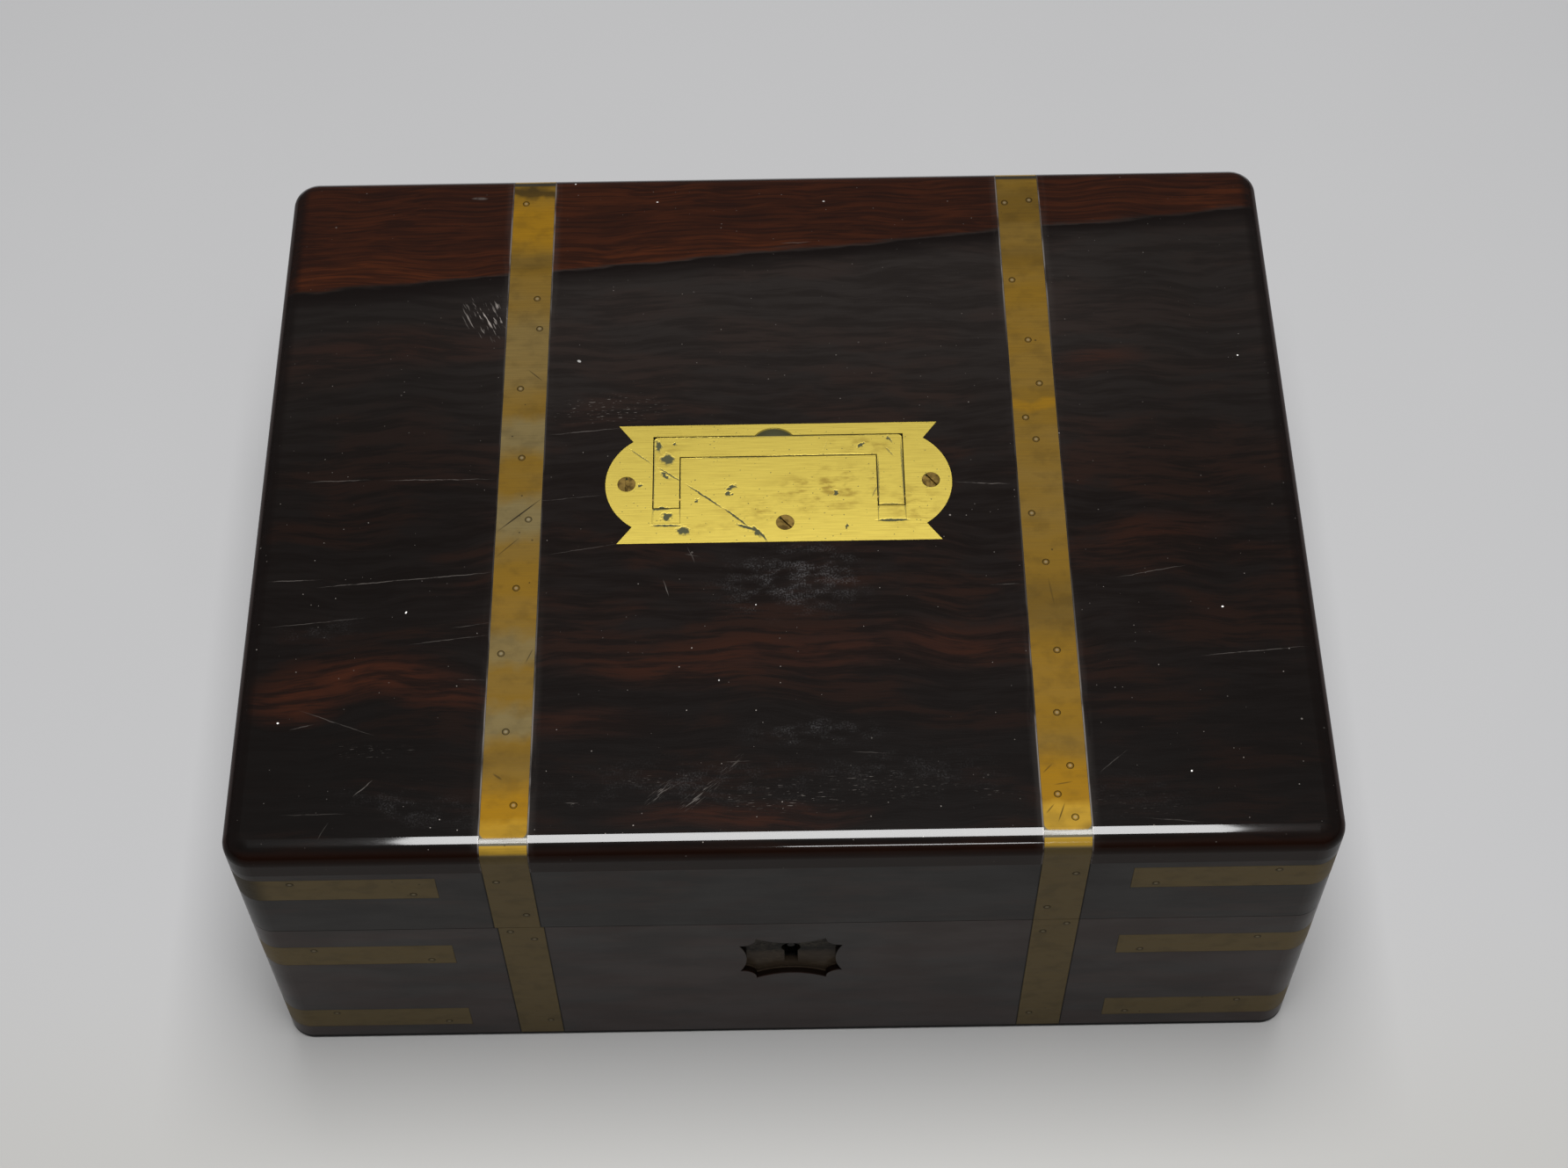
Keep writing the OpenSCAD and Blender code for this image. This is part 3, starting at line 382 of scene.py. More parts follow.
@dataclass(frozen=True)
class Blot:
    """A rounded patch on the lid about one pixel of the photograph."""

    x_px: float
    y_px: float
    half_length_mm: float
    half_width_mm: float
    turn_deg: float = 0.0
    strength: float = 1.0

    def ellipse(self) -> tuple[np.ndarray, float, float, float]:
        """Gives the patch's centre, half length and half width in millimetres, and its turn."""
        centre = VIEW.on_lid(self.x_px, self.y_px)
        return centre, self.half_length_mm, self.half_width_mm, math.radians(self.turn_deg)


def marks(kind: type, *rows: tuple[float, ...]) -> tuple:
    """Makes a mark of each row, which holds the kind's fields in their order."""
    return tuple(kind(*row) for row in rows)


# Hairline cracks in the lid's veneer, which run nearly along the grain and show pale with old wax
CRACKS = marks(
    Scratch,
    (345, 549, 424, 546, 0.3, 0.5), (432, 547, 566, 545, 0.3, 0.55), (622, 495, 712, 487, 0.3, 0.55),
    (1083, 548, 1152, 551, 0.3, 0.7), (302, 662, 368, 660, 0.28, 0.6), (358, 669, 470, 659, 0.3, 0.6),
    (440, 662, 564, 651, 0.3, 0.6), (300, 715, 424, 702, 0.28, 0.35), (462, 734, 560, 722, 0.28, 0.4),
    (512, 715, 560, 708, 0.26, 0.35), (1268, 657, 1352, 642, 0.28, 0.45), (1363, 746, 1492, 735, 0.3, 0.5),
    (604, 571, 690, 563, 0.26, 0.25), (618, 632, 708, 618, 0.26, 0.3), (1125, 665, 1166, 664, 0.28, 0.4),
    (520, 773, 556, 774, 0.26, 0.35),
)
# Bright scratches through the polish
SCRATCHES = marks(
    Scratch,
    (400, 908, 425, 887, 0.36, 0.6), (328, 831, 358, 824, 0.32, 0.45), (338, 808, 428, 838, 0.3, 0.35),
    (359, 958, 374, 935, 0.3, 0.2), (316, 928, 398, 926, 0.3, 0.2), (754, 659, 761, 679, 0.32, 0.6),
    (744, 912, 762, 888, 0.3, 0.3), (778, 921, 806, 897, 0.3, 0.3), (781, 621, 791, 641, 0.32, 0.45),
    (778, 630, 797, 634, 0.3, 0.4), (966, 855, 1014, 857, 0.3, 0.25), (640, 914, 660, 914, 0.3, 0.4),
    (886, 277, 924, 275, 0.36, 0.35), (1250, 880, 1284, 852, 0.3, 0.3), (1300, 930, 1372, 936, 0.3, 0.25),
    (536, 226, 556, 226, 1.4, 0.4), (820, 868, 858, 866, 0.3, 0.3),
)
# Small chips that show as bright white points
SPECKS = marks(
    Blot,
    (462, 697, 0.45, 0.27, 65), (316, 823, 0.36, 0.3), (1408, 404, 0.3, 0.24), (1391, 690, 0.39, 0.3),
    (1356, 877, 0.3, 0.3), (748, 230, 0.36, 0.24, 0, 0.6), (655, 209, 0.3, 0.3, 0, 0.8),
    (283, 983, 1.1, 0.48, 20, 0.8), (306, 981, 0.42, 0.54, 60, 0.6), (659, 411, 0.48, 0.72, 60, 0.35),
    (937, 229, 0.42, 0.3, 0, 0.4), (860, 688, 0.24, 0.24, 0, 0.6), (818, 774, 0.24, 0.3, 0, 0.5),
)
# Where the polish has gone dull and greyish
HAZE = marks(
    Blot,
    (905, 658, 31, 17, 4, 1.0), (800, 890, 60, 12, 0, 0.45), (470, 920, 28, 9, -10, 0.5),
    (925, 832, 26, 7, 0, 0.7), (1020, 880, 42, 12, 0, 0.45), (1290, 900, 30, 14, 0, 0.25),
    (360, 720, 20, 8, 8, 0.35),
)
# Scuffs: patches of short pale strokes
SCUFFS = marks(Blot, (550, 364, 10, 6.0, -62, 1.0), (572, 358, 8, 3.0, -75, 0.9))
# Smears of fine slanting strokes, and dashes along the grain
SMEARS = marks(
    Blot,
    (753, 900, 6.5, 1.8, 42, 0.33), (795, 905, 8.0, 2.2, 40, 0.33), (832, 870, 5.0, 1.4, 45, 0.16),
)
DASHES = marks(
    Blot,
    (693, 464, 20, 6, 4, 0.9), (712, 470, 9, 4, 4, 1.0), (905, 905, 26, 6, 0, 0.49),
    (1130, 902, 8, 2.2, 0, 0.52), (1010, 890, 22, 6, 0, 0.39), (735, 888, 8, 2.0, 0, 0.45),
    (655, 914, 7, 1.4, 0, 0.45), (860, 915, 14, 2.5, 0, 0.39), (1290, 915, 18, 5, 0, 0.16),
    (420, 855, 14, 3, 0, 0.39),
)
# Patches of red-brown heartwood in the lid
RED_PATCHES = marks(
    Blot,
    (420, 775, 33, 9, -3, 0.75), (340, 790, 18, 11, 8, 0.7), (500, 795, 26, 7, -8, 0.55),
    (900, 745, 62, 9, 3, 0.42), (760, 765, 40, 8, -4, 0.34), (1080, 725, 34, 9, 4, 0.4),
    (840, 925, 42, 6, 2, 0.5), (660, 825, 26, 7, 0, 0.3), (430, 400, 60, 9, 5, 0.22),
    (1330, 600, 26, 8, 10, 0.22), (1240, 410, 20, 6, 10, 0.4), (620, 1000, 40, 4, 0, 0.3),
)
# The lid's back holds a strip of paler heartwood, whose edge runs between these two places
HEARTWOOD_LEFT_PX = (345, 335)
HEARTWOOD_RIGHT_PX = (1420, 236)
HEARTWOOD_PATCHES = marks(
    Blot,
    (430, 318, 55, 9, 6, 1.0), (700, 292, 38, 9, 6, 0.8), (840, 282, 40, 5, 6, 0.6),
    (1380, 226, 20, 5, 6, 0.9), (680, 235, 42, 12, 3, 0.45), (1250, 225, 30, 8, 4, 0.4),
)


class Grain(Enum):
    """The way the grain of a board runs."""

    ACROSS_BOX = 0
    FRONT_TO_BACK = 1


class Board(Enum):
    """The kinds of dark board, which differ in polish and in what is drawn on them."""

    LID_TOP = "lid_top"
    UPRIGHT = "upright"
    KEYHOLE = "keyhole"


@dataclass(frozen=True)
class Coromandel:
    """Coromandel, a near-black ebony with red-brown figure, French-polished.

    Black to the eye, with soft red-brown clouds a few centimetres long, broken by mottle a few
    millimetres wide and faint short fibres, and a mirror of shellac on the lid. The upright faces
    have only a dull wax.
    """

    black: str = "090605"
    ash: str = "141110"
    brown: str = "24120a"
    red: str = "38190b"
    orange: str = "4a220c"
    wax: str = "8f8882"
    haze: str = "5c5b5c"
    chip: str = "f4f2ee"
    bloom: str = "262220"
    shade: str = "050302"
    # Painted reflection on the rounded edges, painted shade on the side and back edges, and worn wood with a
    # painted sheen along the side edges
    edge_painted_reflection: str = "1e0b04"
    edge_painted_shade: str = "0b0605"
    side_edge_wear_and_sheen: str = "220e06"
    base_red: str = "27140d"
    # Dirt in the joints beside the straps, and the painted shadow along the box's foot
    dirt_and_foot_shadow: str = "080705"
    heart_dark: str = "210e07"
    heart_pale: str = "301509"
    heart_streak: str = "120806"
    heart_edge: str = "0c0706"
    bare_dark: str = "1a1611"
    bare_pale: str = "39342b"
    bare_stain: str = "0f0d0b"
    # Painted light on the recess floor's lower part, and painted shade on the recess's walls
    recess_floor_painted_light: str = "4c4034"
    recess_painted_shade: str = "120c08"
    fibre_mm: float = 0.45
    mottle_mm: float = 2.6
    cloud_mm: float = 14.0
    drift_mm: float = 40.0
    shellac_roughness: float = 0.05
    wax_roughness: float = 0.42

    def make(self, name: str, grain: Grain, board: Board) -> bpy.types.Material:
        """Lays out the wood.

        Args:
            name: The material's name.
            grain: The way the grain runs.
            board: The kind of board.

        Returns:
            The material.
        """
        g = Graph(name)
        run = grain.value
        push = (0, 12, 5) if grain is Grain.ACROSS_BOX else (12, 0, 5)
        wavy = g.pushed(1 / self.drift_mm, push, 1.0)
        fibres = g.ramp(g.noise(14 * self.fibre_mm, self.fibre_mm, 2.0, run, wavy), 0.3, 0.7)
        mottle = g.ramp(g.noise(9 * self.mottle_mm, self.mottle_mm, 5.0, run, wavy), 0.34, 0.66)
        clouds = g.ramp(g.noise(3.2 * self.cloud_mm, self.cloud_mm, 4.0, run, wavy), 0.42, 0.64)
        fine = g.added(mottle, 0.76, g.times(fibres, 0.24))
        g.colour = g.blended(fine, self.black, self.ash)
        warm = g.times(clouds, g.ramp(fine, 0.1, 0.9, 0.25, 1.0))
        g.tint(g.ramp(warm, 0.0, 1.0, 0.08, 0.62), self.brown)
        dull, polish = 0.3, self.wax_roughness
        if board is Board.LID_TOP:
            dull, polish = self.lid_figure(g, wavy, fine), self.shellac_roughness
            gloss = self.lid_edges(g)
        else:
            gloss = self.upright_face(g)
        if board is Board.KEYHOLE:
            gloss = self.keyhole_recess(g, gloss)
        return g.finish({
            "Roughness": dull, "Specular IOR Level": 0.03, "Normal": g.bump(fibres, 0.1, 0.04),
            "Coat Weight": gloss, "Coat Roughness": polish,
        })

    def lid_edges(self, g: Graph) -> Value:
        """Paints a dark red-brown reflection onto the lid's rounded edges and shade along the side and back
        edges, adds a thin line of worn wood with a painted sheen at the sides, and wears the shellac thin
        there.

        Args:
            g: The material's nodes.

        Returns:
            The shellac's weight.
        """
        gloss = g.short_of(LID_TOP_MM, g.z, 2.6, 1.2, 0.12, 1.0)
        # Painted reflection: the rounded edges turn dark red-brown.
        g.tint(g.short_of(LID_TOP_MM, g.z, 0.5, 2.0, 0.0, 0.5), self.edge_painted_reflection)
        aside = g.unsigned(g.x)
        sides = g.short_of(HALF_WIDTH_MM, aside, 6.5, 3.5, 0.0, 0.7)
        # Painted shade along the side and back edges.
        g.tint(g.larger(sides, g.short_of(HALF_DEPTH_MM, g.y, 3.6, 2.0)), self.edge_painted_shade)
        # Worn wood with a painted sheen: a thin red-brown line at the very side edges.
        g.tint(g.short_of(HALF_WIDTH_MM, aside, 2.0, 1.2, 0.0, 0.7), self.side_edge_wear_and_sheen)
        return g.times(g.short_of(HALF_WIDTH_MM, aside, 3.6, 1.6, 1.0, 0.25), gloss)

    def upright_face(self, g: Graph) -> Value:
        """Adds what the upright boards show: a redder base, dark dirt lines beside the straps, and a painted
        shadow along the foot.

        Args:
            g: The material's nodes.

        Returns:
            The wax's weight.
        """
        below = g.ramp(g.z, SEAM_MM + 0.2, SEAM_MM - 0.2)
        redder = g.ramp(g.noise(40.0, 9.0), 0.35, 0.6, 0.15, 0.7)
        g.tint(g.times(below, redder), self.base_red)
        patchy = g.ramp(g.noise(30.0, 12.0, 4.0), 0.35, 0.65, 0.86, 1.14)
        gloss = g.times(g.ramp(below, 0.0, 1.0, 0.31, 0.38), patchy)
        off = g.add("Mix", {
            0: below, 2: g.off_strap(STRAP_PLACES_MM), 3: g.off_strap(BASE_STRAP_PLACES_MM),
        }, data_type="FLOAT")
        aside, ahead = g.unsigned(g.x), g.unsigned(g.y)
        line = g.ramp(off, STRAP_HALF_MM + 0.15, STRAP_HALF_MM + 0.55, 0.85, 0.0)
        line = g.times(line, g.short_of(HALF_DEPTH_MM, ahead, 1.4, 1.2))
        # Painted shadow: the outer faces darken along the box's foot; the lines beside the straps are dirt in
        # the joints.
        outer = g.short_of(HALF_WIDTH_MM, aside, 2.8, 2.5)
        outer = g.larger(outer, g.short_of(HALF_DEPTH_MM, ahead, 2.8, 2.5))
        dark = g.larger(line, g.times(g.ramp(g.z, *FOOT_MM), outer))
        g.tint(dark, self.dirt_and_foot_shadow)
        return g.times(gloss, g.less(1.0, dark))

    def heartwood(self, g: Graph, wavy: Value, fine: Value) -> None:
        """Adds the strip of heartwood along the lid's back.

        Its edge is a straight line y = y0 + slope x, made a little uneven by noise, with the
        brightest wood just behind it.

        Args:
            g: The material's nodes.
            wavy: The place, pushed about by the grain's drift.
            fine: The fine grain, from 0 to 1.
        """
        left, right = VIEW.on_lid(*HEARTWOOD_LEFT_PX), VIEW.on_lid(*HEARTWOOD_RIGHT_PX)
        slope = (right[1] - left[1]) / (right[0] - left[0])
        edge = g.added(g.x, slope, left[1] - slope * left[0])
        edge = g.added(g.noise(34.0, 5.0, 4.0), 7.0, edge)
        behind = g.math("ADD", g.less(g.y, edge), 3.5)
        glow = g.times(
            g.marked(HEARTWOOD_PATCHES, 1.4, wavy), g.ramp(behind, 1.0, 20.0, 0.75, 0.45),
            g.ramp(fine, 0.0, 1.0, 0.25, 0.66),
        )
        warm = g.blended(glow, g.blended(fine, self.heart_dark, self.heart_pale), self.orange)
        streaks = g.ramp(g.noise(34.0, 0.9, 4.0, 0, wavy), 0.36, 0.6)
        warm = g.blended(g.ramp(streaks, 0.0, 1.0, 0.55, 0.0), warm, self.heart_streak)
        g.tint(g.ramp(behind, -0.4, 1.6), warm)
        g.tint(g.times(g.ramp(behind, -9.0, -0.5), g.ramp(behind, 0.2, -0.6)), self.heart_edge)

    def lid_figure(self, g: Graph, wavy: Value, fine: Value) -> Value:
        """Adds the lid's own figure, cracks, scratches and dull patches, and painted shade towards its front
        and sides.

        Args:
            g: The material's nodes.
            wavy: The place, pushed about by the grain's drift.
            fine: The fine grain, from 0 to 1.

        Returns:
            The roughness under the shellac.
        """
        g.tint(g.times(g.ramp(g.y, -20.0, 70.0, 0.0, 0.7), g.ramp(fine, 0.0, 1.0, 0.62, 1.0)), self.bloom)
        # Painted shade: the lid darkens towards its front and both sides.
        painted_shade_sides = ((g.y, -45.0, -95.0, 0.5), (g.x, -60.0, -115.0, 0.4), (g.x, 85.0, 120.0, 0.25))
        for along, begin, end, most in painted_shade_sides:
            g.tint(g.ramp(along, begin, end, 0.0, most), self.shade)
        g.tint(g.times(g.marked(RED_PATCHES, 1.3, wavy), g.ramp(fine, 0.1, 0.9, 0.2, 1.0)), self.red)
        self.heartwood(g, wavy, fine)

        shaken = g.pushed(0.25, (0.8, 0.8, 0.8), 3.0)
        unbroken = g.ramp(g.noise(3.0, 3.0), 0.3, 0.55, 0.12, 0.46)
        pale = g.larger(
            g.times(g.marked(CRACKS + SCRATCHES, 2.0, shaken), unbroken),
            g.strokes(SCUFFS, -64.0, 5.0, 0.7, 0.57),
            g.strokes(SMEARS, 40.0, 4.0, 0.35, 0.54),
            g.strokes(DASHES, 2.0, 2.8, 0.28, 0.64),
            self.dust(g),
        )
        cloud = g.ramp(g.noise(6.0, 3.0, 5.0), 0.36, 0.66)
        stipple = g.ramp(g.even_noise(1.9, 2.0), 0.4, 0.68, 0.2, 1.0)
        haze = g.times(g.marked(HAZE, 1.1), cloud, stipple)
        g.tint(g.ramp(haze, 0.0, 1.0, 0.0, 0.4), self.haze)
        g.tint(self.strap_residue(g), self.wax)
        g.tint(pale, self.wax)
        g.tint(g.marked(SPECKS, 3.0), self.chip)
        return g.ramp(haze, 0.0, 1.0, 0.3, 0.5)

    @staticmethod
    def dust(g: Graph) -> Value:
        """Scatters tiny pale specks, thickest in front.

        Args:
            g: The material's nodes.

        Returns:
            The mask.
        """
        layers = []
        for per_mm, radius_mm, first in ((0.16, 0.3, 0.55), (0.42, 0.2, 0.35)):
            dot, chance = g.dots(per_mm, first, radius_mm * per_mm)
            layers.append(g.times(dot, g.ramp(chance, 0.0, 1.0, 0.3, 1.0)))
        crowd = g.ramp(g.noise(26.0, 18.0), 0.4, 0.6, 0.15, 1.0)
        near_front = g.ramp(g.y, 60.0, -50.0, 0.3, 1.0)
        return g.times(g.larger(*layers), g.times(crowd, near_front))

    @staticmethod
    def strap_residue(g: Graph) -> Value:
        """Draws old polish caught beside the straps, most of it near the front.

        Args:
            g: The material's nodes.

        Returns:
            The mask.
        """
        off = g.off_strap(STRAP_PLACES_MM)
        line = g.ramp(off, STRAP_HALF_MM + 0.1, STRAP_HALF_MM + 0.6, 1.0, 0.0)
        halo = g.ramp(off, STRAP_HALF_MM, STRAP_HALF_MM + 3.0, 0.07, 0.0)
        amount = g.larger(g.ramp(g.y, -30.0, -85.0, 0.1, 0.6), g.ramp(g.y, 45.0, 75.0, 0.0, 0.5))
        broken = g.ramp(g.noise(16.0, 2.0, 3.0, 1), 0.36, 0.58, 0.15, 1.0)
        return g.times(g.math("ADD", line, halo), g.times(amount, broken))

    def keyhole_recess(self, g: Graph, gloss: Value) -> Value:
        """Turns the wood bare, stained and dull inside the recess of the lost keyhole plate, with painted
        shade on its walls and painted light on the lower part of its floor.

        Args:
            g: The material's nodes.
            gloss: The weight of the wax outside the recess.

        Returns:
            The wax's weight.
        """
        aside = g.unsigned(g.less(g.x, RECESS_X_MM))
        deep = g.ramp(g.y, 0.15 - HALF_DEPTH_MM, 0.45 - HALF_DEPTH_MM)
        inside = g.times(deep, g.ramp(aside, 24.0, 22.0))
        bare = g.blended(g.ramp(g.noise(1.6, 1.1, 5.0), 0.36, 0.66), self.bare_dark, self.bare_pale)
        bare = g.blended(g.ramp(g.noise(6.0, 4.0), 0.45, 0.62, 0.0, 0.7), bare, self.bare_stain)
        # Painted light: the floor's lower part is lighter.
        bare = g.blended(g.ramp(g.z, KEY_MM - 1.0, KEY_MM - 4.0, 0.0, 0.5), bare, self.recess_floor_painted_light)
        # Painted shade: the recess's walls are dark.
        g.tint(inside, self.recess_painted_shade)
        g.tint(g.times(inside, g.ramp(g.y, 1.7 - HALF_DEPTH_MM, 2.1 - HALF_DEPTH_MM)), bare)
        return g.times(gloss, g.less(1.0, inside))


@dataclass(frozen=True)
class StrapPatch:
    """A patch of another colour that runs right across one of the two long straps."""

    side: int
    y_mm: float
    half_length_mm: float
    strength: float

    def ellipse(self) -> tuple[np.ndarray, float, float, float]:
        """Gives the patch's centre, half width and half length in millimetres, and its turn."""
        return np.array([STRAP_PLACES_MM[self.side], self.y_mm]), 4 * STRAP_HALF_MM, self.half_length_mm, 0.0


# Where a strap has gone grey-green, where it is rubbed to gold and lit by a painted reflection, where a
# painted highlight brightens its front end, and where it is stained dark
STRAP_GREY = marks(
    StrapPatch,
    (0, -80, 8, 0.85), (0, -56, 7, 0.7), (0, -11, 10, 0.9), (0, 18, 9, 0.8), (0, 50, 24, 0.45),
    (1, 0, 22, 0.08),
)
STRAP_GOLD_AND_REFLECTION = marks(
    StrapPatch,
    (0, -108, 11, 1.0), (0, 100, 14, 0.9), (0, -38, 12, 0.2), (1, -102, 14, 0.85), (1, 27, 2.5, 0.6),
    (1, -70, 24, 0.3), (1, 60, 30, 0.15),
)
STRAP_SHINE = marks(StrapPatch, (0, -114, 4, 0.4), (1, -112, 6, 0.65))
STRAP_DARK = marks(
    StrapPatch,
    (0, 113, 3, 0.7), (0, -91, 4, 0.15), (1, -45, 14, 0.3), (0, 84, 5, 0.2), (1, 84, 8, 0.25),
    (1, 104, 12, 0.3),
)
# Dark cuts and dents in the straps
STRAP_CUTS = marks(
    Scratch,
    (564, 606, 618, 566, 0.6, 0.9), (564, 634, 592, 611, 0.4, 0.6), (597, 756, 607, 737, 0.4, 0.6),
    (1204, 936, 1212, 912, 0.5, 0.7), (1190, 926, 1200, 914, 0.5, 0.6), (1186, 880, 1198, 868, 0.5, 0.5),
    (600, 420, 618, 434, 0.5, 0.6), (1192, 655, 1200, 690, 0.6, 0.3), (1198, 893, 1222, 889, 0.5, 0.5),
    (560, 880, 572, 888, 0.8, 0.5),
)


@dataclass(frozen=True)
class BindingBrass:
    """Old rolled brass strap, brushed across and gone olive under wax.

    Yellow metal with a thin brown skin: golden where hands and cloths rub it on the lid, with painted
    reflection at the long straps' ends, a painted highlight at their front ends and a grey band of wax and
    painted reflection where they turn over the front edge; grey-green in places, dull olive on the upright
    faces, with fine lines across the strap and a few dark pits.
    """

    gold: str = "876313"
    worn: str = "6e541c"
    grey: str = "6c6041"
    olive: str = "66583b"
    bright: str = "ad8a2e"
    pit: str = "1e1a14"
    # A grey wax film with a painted reflection over the front edge, and a paler painted reflection at its
    # corners
    wax_film_and_reflection: str = "3d372b"
    corner_painted_reflection: str = "5d594b"
    dirt_and_foot_shadow: str = "15120c"
    head: str = "858070"
    groove: str = "241e14"

    def make(self, name: str, pins: bool = False) -> bpy.types.Material:
        """Lays out the brass.

        Args:
            name: The material's name.
            pins: True for the pins' filed heads, which are greyer than the strap.

        Returns:
            The material.
        """
        g = Graph(name)
        lines = g.noise(11.0, 0.3)
        drifted = g.pushed(0.12, (9.0, 9.0, 9.0), 3.0)
        g.colour = g.blended(g.ramp(g.noise(60.0, 12.0), 0.4, 0.64, 0.0, 0.15), self.worn, self.grey)
        # The gold patches are rubbed brass with a painted reflection, and the bright front-end patches a
        # painted highlight.
        for patches, colour in ((STRAP_GREY, self.grey), (STRAP_GOLD_AND_REFLECTION, self.gold), (STRAP_DARK, self.pit),
                                (STRAP_SHINE, self.bright)):
            g.tint(g.marked(patches, 1.6, drifted), colour)
        # A grey band where the strap turns over the front edge: a wax film, and a painted reflection in its
        # colour.
        wax_film_and_reflection = g.times(g.short_of(LID_TOP_MM, g.z, 0.03, 0.1), g.short_of(LID_TOP_MM, g.z, 0.75, 0.55))
        g.tint(wax_film_and_reflection, self.wax_film_and_reflection)
        # The band's corners, in a paler grey painted reflection.
        g.tint(self.round_corner(g), self.corner_painted_reflection)
        rubbed = g.times(g.short_of(LID_TOP_MM, g.z, 0.65, 0.8), g.short_of(LID_TOP_MM, g.z, 3.2, 2.0))
        g.tint(rubbed, self.bright)
        upright = g.short_of(LID_TOP_MM, g.z, 3.4, 2.0, 1.0, 0.0)
        g.tint(upright, self.olive)
        # A dark stain on the left corner straps above the seam, and painted shadow along the box's foot.
        left_side = g.ramp(g.x, 5.0 - HALF_WIDTH_MM, 12.0 - HALF_WIDTH_MM, 0.75, 0.0)
        left_side = g.times(left_side, g.ramp(g.z, SEAM_MM, SEAM_MM + 3.0))
        g.tint(g.larger(left_side, g.ramp(g.z, *FOOT_MM)), self.dirt_and_foot_shadow)
        wax = g.times(g.larger(wax_film_and_reflection, rubbed), g.ramp(lines, 0.35, 0.6, 0.55, 0.9))
        g.tint(g.ramp(g.noise(7.0, 5.0, 4.0), 0.44, 0.7, 0.0, 0.2), self.pit)
        g.tint(g.ramp(lines, 0.3, 0.7, 0.16, 0.0), self.pit)
        holes, _ = g.dots(0.28, 0.72, 0.1)
        g.tint(g.larger(g.marked(STRAP_CUTS, 2.0), g.times(holes, 0.6)), self.pit)
        if pins:
            share = g.add("Attribute", attribute_name="share").outputs["Fac"]
            g.tint(g.ramp(share, 0.6, 0.3, 0.0, 0.4), self.head)
            g.tint(g.ramp(share, 0.5, 0.75, 0.0, 0.6), self.groove)
        return g.finish({
            "Metallic": g.ramp(upright, 0.0, 1.0, 0.45, 0.9), "Specular IOR Level": 0.06,
            "Roughness": g.ramp(lines, 0.3, 0.7, 0.56, 0.66), "Normal": g.bump(lines, 0.12, 0.03),
            "Coat Weight": wax, "Coat Roughness": 0.12,
        })

    @staticmethod
    def round_corner(g: Graph) -> Node:
        """Rounds the corners where the strap's gold meets the grey band of wax and painted reflection on the
        front edge.

        The corners lie outside a circle of 2.4 mm that touches the strap's side and that band.

        Args:
            g: The material's nodes.

        Returns:
            The mask.
        """
        round_mm, band_start_y = 2.4, HALF_DEPTH_MM - 4.5
        out = g.less(g.off_strap(STRAP_PLACES_MM), STRAP_HALF_MM - round_mm)
        ahead = g.added(g.y, -1.0, round_mm - band_start_y)
        both = g.add("CombineXYZ", {0: g.larger(out, 0.0), 1: g.larger(ahead, 0.0)})
        reach = g.add("VectorMath", {0: both}, operation="LENGTH").outputs["Value"]
        return g.ramp(reach, round_mm - 0.2, round_mm + 0.2)


# The long scratch over the handle plate, in the pieces that the photograph shows
PLATE_SCRATCHES = marks(
    Scratch,
    (715, 510, 743, 529, 0.5, 0.8), (747, 531, 777, 549, 0.6, 0.9), (779, 550, 825, 580, 0.7, 1.0),
    (822, 577, 853, 600, 0.7, 1.0), (836, 596, 864, 604, 1.2, 1.0), (860, 601, 874, 616, 0.8, 1.0),
    (1007, 508, 1017, 519, 0.5, 0.7), (998, 552, 992, 566, 0.5, 0.6), (1009, 494, 1016, 505, 0.5, 0.6),
    (936, 514, 942, 501, 0.4, 0.3),
)
# The dark lines round the bail and the blocks, where dirt fills the gaps
PLATE_SEAMS = marks(
    Scratch,
    (744, 499, 1024, 494, 0.5, 0.6), (775, 522, 998, 516, 0.55, 0.7), (745, 496, 743, 598, 0.5, 0.6),
    (774, 520, 773, 598, 0.45, 0.6), (999, 514, 1000, 592, 0.55, 0.75), (1024, 493, 1031, 592, 0.6, 0.8),
    (738, 598, 778, 598, 0.9, 1.0), (995, 592, 1037, 591, 1.1, 1.0), (743, 580, 764, 579, 0.7, 0.9),
    (1000, 573, 1027, 573, 0.5, 0.8),
)
# Dark grey-green stains on the handle plate
PLATE_STAINS = marks(
    Blot,
    (749, 508, 1.1, 2.6, 15), (760, 523, 2.2, 2.4, -30), (757, 541, 2.4, 0.7, -35), (751, 579, 2.8, 0.5, 8),
    (759, 588, 2.0, 1.6, 30), (777, 604, 2.4, 1.7, -10), (862, 605, 2.4, 1.1, -50),
    (832, 555, 2.0, 0.8, 35), (829, 562, 1.2, 0.7, 10), (793, 569, 0.7, 0.8, 0), (979, 506, 1.6, 0.6, 40),
    (963, 599, 0.5, 1.1, 0), (728, 552, 0.8, 0.8, 0), (952, 561, 0.6, 0.9, 20), (1011, 499, 1.6, 0.4, -50),
    (706, 596, 0.7, 0.5, 0), (768, 505, 0.6, 0.5, 0), (1068, 490, 0.6, 0.9, 0),
)
# Where the handle plate has gone brown
PLATE_TARNISH = marks(
    Blot,
    (945, 556, 26, 12, 8, 1.0), (880, 580, 22, 8, 0, 0.8), (1040, 575, 12, 14, 0, 0.8),
    (990, 505, 18, 6, 0, 0.7), (800, 600, 22, 5, 0, 0.5), (760, 520, 8, 14, 0, 0.5),
)


